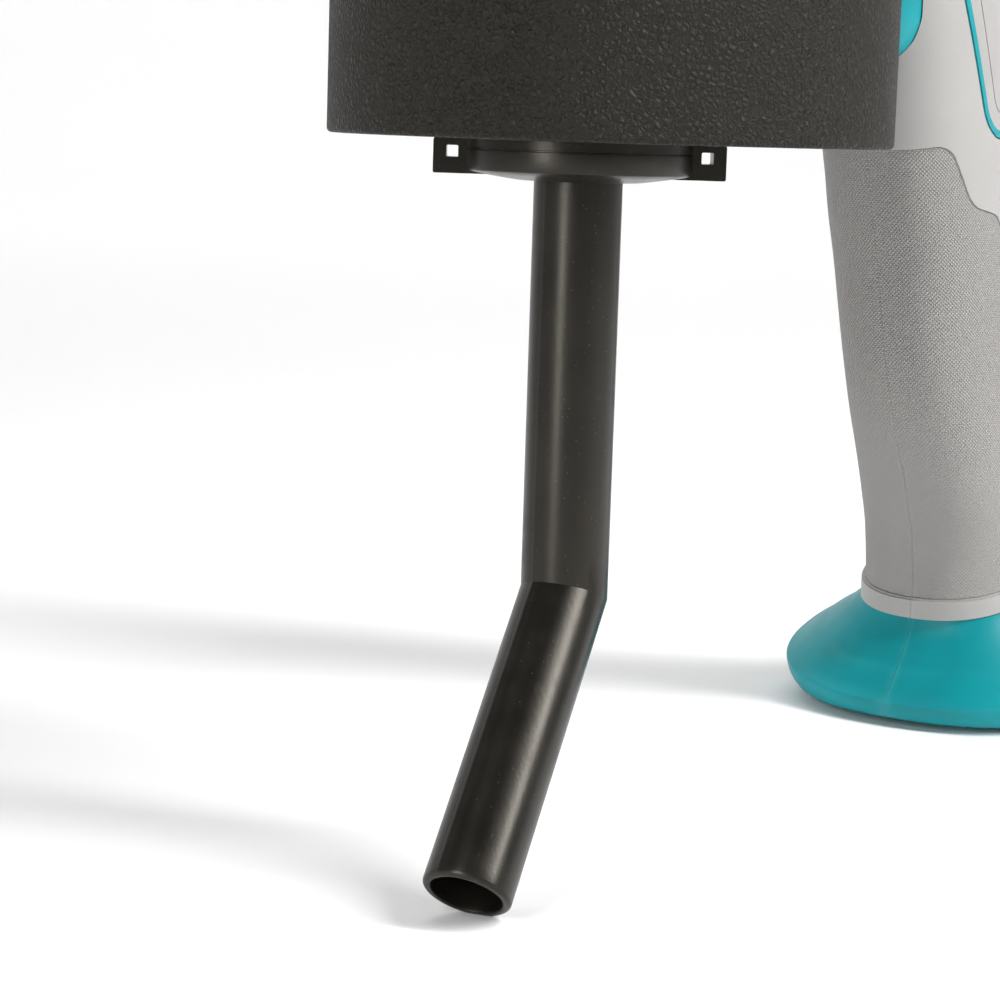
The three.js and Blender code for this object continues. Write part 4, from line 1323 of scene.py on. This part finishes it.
class BuildFan(Operator):
    """Paints the motor, fan and diffuser inside the drum and dome"""

    bl_idname = "blower.fan"
    bl_label = "Motor and fan"

    def execute(self, context):
        for node, material in (
            ("motor_mount", "inner_white"), ("motor_can", "steel"), ("motor_armature", "copper"),
            ("bearing_lower", "steel"), ("bearing_upper", "steel"), ("impeller", "inner_white"),
            ("impeller_nut", "brass"), ("diffuser", "moulded_black"), ("outlet_seal", "black_rubber"),
        ):
            repaint(node, material)
        return {"FINISHED"}


class BuildGrille(Operator):
    """Builds the slotted air intake on top of the dome"""

    bl_idname = "blower.grille"
    bl_label = "Intake grille"

    def execute(self, context):
        cap = spun("cap", (
            (0, 292.9), (13, 292.5), (24, 291.2), (29.8, 289.4), (29.8, 287.4),
            (32.4, 287.4), (32.4, 291.2), (32.1, 291.6), (31.2, 292.0), (29.4, 292.6),
            (26, 293.6), (20, 294.3), (14, 294.8), (7, 295.1), (0, 295.2),
        ), DRUM_X, sides=144)
        slots = []
        for i in range(16):
            shape = rounded(((11, -1.25), (27.5, -1.25), (27.5, 1.25), (11, 1.25)), 1.2)
            slot = prism("slot", shape, 280, 300, "Z")
            slot.data.transform(
                Matrix.Translation((DRUM_X * MM, 0, 0)) @ Matrix.Rotation(math.radians(22.5 * i), 4, "Z")
            )
            slots.append(slot)
        combine(cap, together("slots", slots))
        place(cap, "intake_cap", "housing", "moulded_black", "black_plastic", "intake_grille")
        return {"FINISHED"}


class BuildCollar(Operator):
    """Builds the outlet collar with its two windowed ears"""

    bl_idname = "blower.collar"
    bl_label = "Outlet collar"

    def execute(self, context):
        top = COLLAR_HIGH.z / MM
        cone = spun("cone", (
            (9.75, 140.8), (10.1, 140.4), (12.8, 140.4), (13.6, 140.48), (16.6, 140.9), (20.2, 141.45),
            (23.0, 141.9), (23.8, 142.25), (24.0, 142.8),
            (24.0, top - 2.3), (23.5, top - 2.2), (23.5, top - 1.9),
            (24.0, top - 1.8), (24.0, top), (12.8, top), (12.8, 142.2), (9.75, 142.2),
        ), sides=128)
        half = EAR_SPAN / 2
        ears = []
        for side in (-1, 1):
            shape = rounded((
                (side * 12, top - EAR_H), (side * half, top - EAR_H), (side * half, top), (side * 12, top),
            ), 0.45, 3)
            ear = prism("ear", shape, -EAR_DEPTH / 2, EAR_DEPTH / 2, "X")
            ears.append(ear)
        ears = together("ears", ears)
        low = 144.7
        cuts = [spun("socket", ((0, 130), (13.5, 130), (13.5, 160), (0, 160)), sides=64)]
        for side in (-1, 1):
            near, far = side * 25.3, side * (25.3 + WINDOW)
            shape = rounded(((near, low), (far, low), (far, low + WINDOW), (near, low + WINDOW)), 0.3, 3)
            cuts.append(prism("window", shape, -10, 10, "X"))
        combine(ears, together("cuts", cuts))
        combine(cone, ears, "UNION")
        cone.data.transform(
            Matrix.Translation((TUBE_X * MM, 0, 0)) @ Matrix.Rotation(math.radians(EAR_YAW), 4, "Z")
        )
        place(cone, "outlet_collar", "collar", "moulded_black", "black_plastic", "nozzle_collar")
        return {"FINISHED"}


class BuildNozzle(Operator):
    """Builds the bent nozzle tube with its mitred bend, mould line and rounded mouth"""

    bl_idname = "blower.nozzle"
    bl_label = "Nozzle tube"

    def execute(self, context):
        sides = sizes().tube_sides
        rim = sizes().rim / MM
        line = sizes().mould_line / MM
        lean, yaw = math.radians(BEND_DEG), math.radians(BEND_YAW)
        run = Vector((math.sin(lean) * math.cos(yaw), math.sin(lean) * math.sin(yaw), -math.cos(lean)))
        down = Vector((0, 0, -1))
        bend = Vector((TUBE_X, 0, BEND_Z))
        halving = (down + run).normalized()
        ahead = Vector((math.cos(yaw), math.sin(yaw), 0))
        across = down.cross(ahead).normalized()
        front = run.cross(across).normalized()
        if front.dot(ahead) < 0:
            front = -front
        seam = math.radians(24.0)

        def ring(centre, forward, radius, rise=0.0, wobble=0.0):
            """Points round a centre; the mould line is a thin ridge near the front."""
            points = []
            for a in arc(sides):
                off = (a - seam + math.pi) % (2 * math.pi) - math.pi
                r = radius + rise * math.exp(-((off * radius / 0.42) ** 2))
                r += wobble * (math.sin(3 * a + 0.7) + 0.6 * math.sin(5 * a + 2.1) - 0.4 * math.sin(2 * a))
                points.append(centre + forward * (r * math.cos(a)) + across * (r * math.sin(a)))
            return points

        def mitred(points, axis):
            """Slides the ring's points along the axis onto the plane that halves the bend."""
            return [p + axis * ((bend - p).dot(halving) / axis.dot(halving)) for p in points]

        outer, inner = [], []
        for z in (143.1, 142.6, 142.5):
            outer.append(ring(Vector((TUBE_X, 0, z)), ahead, 12.3))
        for z in (142.4, 140.0):
            outer.append(ring(Vector((TUBE_X, 0, z)), ahead, TUBE_R, line))
        z = 136.0
        while z > BEND_Z + 10:
            outer.append(ring(Vector((TUBE_X, 0, z)), ahead, TUBE_R, line))
            z -= 4.0
        outer.append(mitred(ring(bend, ahead, TUBE_R, line), down))
        t = 10.0
        while t < TIP_RUN - rim - 2:
            outer.append(ring(bend + run * t, front, TUBE_R, line))
            t += 4.0
        for k in range(7):
            angle = math.radians(15 * k)
            outer.append(ring(
                bend + run * (TIP_RUN - rim + rim * math.sin(angle)), front,
                TUBE_R - rim + rim * math.cos(angle), line * (1 - k / 6),
            ))
        thick = 0.35
        inner.append(ring(bend + run * TIP_RUN, front, BORE_R + 0.35, 0, 0.03))
        for k in range(1, 4):
            angle = math.radians(30 * k)
            inner.append(ring(
                bend + run * (TIP_RUN - thick * (1 - math.cos(angle))), front,
                BORE_R + 0.35 - 0.35 * math.sin(angle), 0, 0.06,
            ))
        for t, wobble in (
            (TIP_RUN - 1.4, 0.10), (TIP_RUN - 3.0, 0.06), (TIP_RUN - 7.0, 0.02), (40.0, 0.0), (12.0, 0.0),
        ):
            inner.append(ring(bend + run * t, front, BORE_R, 0, wobble))
        inner.append(mitred(ring(bend, ahead, BORE_R), down))
        inner.append(ring(Vector((TUBE_X, 0, 100.0)), ahead, BORE_R))
        inner.append(ring(Vector((TUBE_X, 0, 143.1)), ahead, BORE_R))
        rings = outer + inner
        points = [tuple(p) for r in rings for p in r]
        faces = []
        for k in range(len(rings)):
            n = (k + 1) % len(rings)
            for i in range(sides):
                j = (i + 1) % sides
                faces.append((k * sides + i, k * sides + j, n * sides + j, n * sides + i))
        tube = mesh_of("tube", points, faces)
        place(tube, "nozzle", "nozzle", "moulded_black", "black_plastic", "nozzle_tube", degrees=24)
        return {"FINISHED"}


class BuildScrews(Operator):
    """Builds the case screws with cross recesses and paints the drum screws"""

    bl_idname = "blower.screws"
    bl_label = "Screws"

    def execute(self, context):
        for i, (x, z) in enumerate(SCREWS):
            rings = []
            for y, r in ((-11.35, 2.2), (-11.3, 2.7), (-11.0, 3.0), (-10.5, 3.1), (-9.5, 3.1), (-9.3, 2.9)):
                rings.append([(x + r * math.cos(a), y, z + r * math.sin(a)) for a in arc(40)])
            head = loft("head", rings)
            combine(head, prism(
                "shank", disc(x, z, 1.45, 20), -9.6, 9.8
            ), "UNION")
            cross = combine(
                block("bar", x - 1.9, x + 1.9, -13, -10.2, z - 0.42, z + 0.42),
                block("bar", x - 0.42, x + 0.42, -13, -10.2, z - 1.9, z + 1.9), "UNION",
            )
            turn = Matrix.Translation((x * MM, 0, z * MM)) @ Matrix.Rotation(0.5 + i * 1.3, 4, "Y")
            cross.data.transform(turn @ Matrix.Translation((-x * MM, 0, -z * MM)))
            combine(head, cross)
            place(head, f"case_screw_{i + 1}", "housing", "steel", "steel", f"body_screw_{i + 1}")
        for i in range(3):
            repaint(f"drum_screw_{i + 1}", "steel")
        return {"FINISHED"}


class BuildStage(Operator):
    """Sets the pale floor, the soft lights and the camera"""

    bl_idname = "blower.stage"
    bl_label = "Floor, lights and camera"

    def execute(self, context):
        scene = context.scene
        low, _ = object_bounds()
        yaw = math.radians(CAMERA_YAW)
        # the floor leans a little, so that the heel of the foot and the nozzle's tip both rest on it
        tip = Vector((0.246, 0.0, low.z))
        slope = low.z / (tip.x + 0.031)
        profile = [(0.0, 0.0), (0.6, 0.0), (1.4, 0.0), (FLOOR_FLAT, 0.0)]
        for k in range(1, 13):
            angle = math.radians(90 * k / 12)
            out, up = FLOOR_CURVE * math.sin(angle), FLOOR_CURVE * math.cos(angle)
            profile.append((FLOOR_FLAT + out, FLOOR_CURVE - up))
        profile.append((FLOOR_FLAT + FLOOR_CURVE, WALL_TOP))
        points, faces = [], []
        sides = 96
        for i in range(sides):
            for r, up in profile:
                x, y = r * math.cos(2 * math.pi * i / sides), r * math.sin(2 * math.pi * i / sides)
                points.append((x, y, up + low.z + slope * (x - tip.x)))
        count = len(profile)
        for i in range(sides):
            j = (i + 1) % sides
            for k in range(count - 1):
                faces.append((i * count + k, i * count + k + 1, j * count + k + 1, j * count + k))
        mesh = bpy.data.meshes.new("floor")
        mesh.from_pydata(points, [], faces)
        mesh.validate()
        floor = bpy.data.objects.new("floor", mesh)
        scene.collection.objects.link(floor)
        mesh.shade_smooth()
        paint = Sheet("floor_white", specular=0.2)
        cloud = paint.noise(2.0, 2.0)
        mesh.materials.append(paint.finish(
            paint.blend(cloud, (0.92, 0.92, 0.92), (0.94, 0.94, 0.94)), 0.9, paint.noise(300.0), 0.0001, 0.2
        ))
        floor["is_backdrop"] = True

        world = bpy.data.worlds.new("soft_white")
        world.use_nodes = True
        world.node_tree.nodes["Background"].inputs["Color"].default_value = (1, 1, 1, 1)
        world.node_tree.nodes["Background"].inputs["Strength"].default_value = 0.02
        scene.world = world

        centre = Vector((0.150, 0.0, 0.140))
        # bearing from the camera's side, positive to the left; then the height and distance of the light,
        # its width, height and power, and how far behind the blower and how high it aims
        for name, bearing, height, distance, wide, tall, power, behind, aim in (
            ("left_box", 36, 0.42, 0.95, 0.26, 1.0, 7.5, 0.0, 0.14),
            ("right_box", -70, 0.82, 0.85, 0.20, 0.9, 16.0, 0.0, 0.12),
            ("ceiling_box", 180, 2.2, 0.9, 2.4, 2.2, 15.0, 0.7, 0.0),
            ("wall_box", 180, 2.5, 1.9, 3.2, 0.9, 40.0, 3.0, 0.4),
        ):
            light = bpy.data.lights.new(name, "AREA")
            light.shape = "RECTANGLE"
            light.size, light.size_y, light.energy = wide, tall, power
            holder = bpy.data.objects.new(name, light)
            scene.collection.objects.link(holder)
            holder.visible_camera = False
            turn = yaw - math.radians(bearing)
            spot = centre + Vector((math.cos(turn), math.sin(turn), 0)) * distance
            spot.z = height
            target = centre - Vector((math.cos(yaw), math.sin(yaw), 0)) * behind
            target.z = aim
            holder.location = spot
            holder.rotation_euler = (target - spot).to_track_quat("-Z", "Y").to_euler()

        lens = bpy.data.cameras.new("camera")
        lens.lens = CAMERA_LENS
        lens.sensor_width = 36.0
        lens.clip_start, lens.clip_end = 0.01, 50.0
        camera = bpy.data.objects.new("camera", lens)
        scene.collection.objects.link(camera)
        pitch, roll = math.radians(CAMERA_PITCH), math.radians(CAMERA_ROLL)
        camera.location = Vector((DRUM_X * MM + 0.4724, 0.3175, (DRUM_FLOOR + 5.0) * MM))
        look = Vector((-math.cos(yaw) * math.cos(pitch), -math.sin(yaw) * math.cos(pitch), -math.sin(pitch)))
        camera.rotation_mode = "QUATERNION"
        tilt = Matrix.Rotation(roll, 3, "Z").to_quaternion()
        camera.rotation_quaternion = look.to_track_quat("-Z", "Y") @ tilt
        scene.camera = camera
        scene.view_settings.view_transform = "Standard"
        return {"FINISHED"}


class BlowerPanel(Panel):
    """Lists the sizes, the colours and the pieces"""

    bl_idname = "VIEW3D_PT_leaf_blower"
    bl_label = "Leaf Blower"
    bl_space_type = "VIEW_3D"
    bl_region_type = "UI"
    bl_category = "Leaf Blower"

    def draw(self, context):
        for group in (context.scene.blower_sizes, context.scene.blower_colours):
            for key in group.__annotations__:
                self.layout.prop(group, key)
        for step in STEPS:
            self.layout.operator(step.bl_idname)


STEPS = (
    BuildHousing, BuildGripPads, BuildFlanks, BuildFoot, BuildBattery, BuildLatches, BuildTrigger,
    BuildControls, BuildDrum, BuildFan, BuildGrille, BuildCollar, BuildNozzle, BuildScrews, BuildStage,
)
CLASSES = (BlowerSizes, BlowerColours, *STEPS, BlowerPanel)


def register():
    for kind in CLASSES:
        bpy.utils.register_class(kind)
    bpy.types.Scene.blower_sizes = PointerProperty(type=BlowerSizes)
    bpy.types.Scene.blower_colours = PointerProperty(type=BlowerColours)


def unregister():
    del bpy.types.Scene.blower_sizes
    del bpy.types.Scene.blower_colours
    for kind in reversed(CLASSES):
        bpy.utils.unregister_class(kind)


def main():
    register()
    for step in STEPS:
        area, name = step.bl_idname.split(".")
        getattr(getattr(bpy.ops, area), name)()


if __name__ == "__main__":
    main()
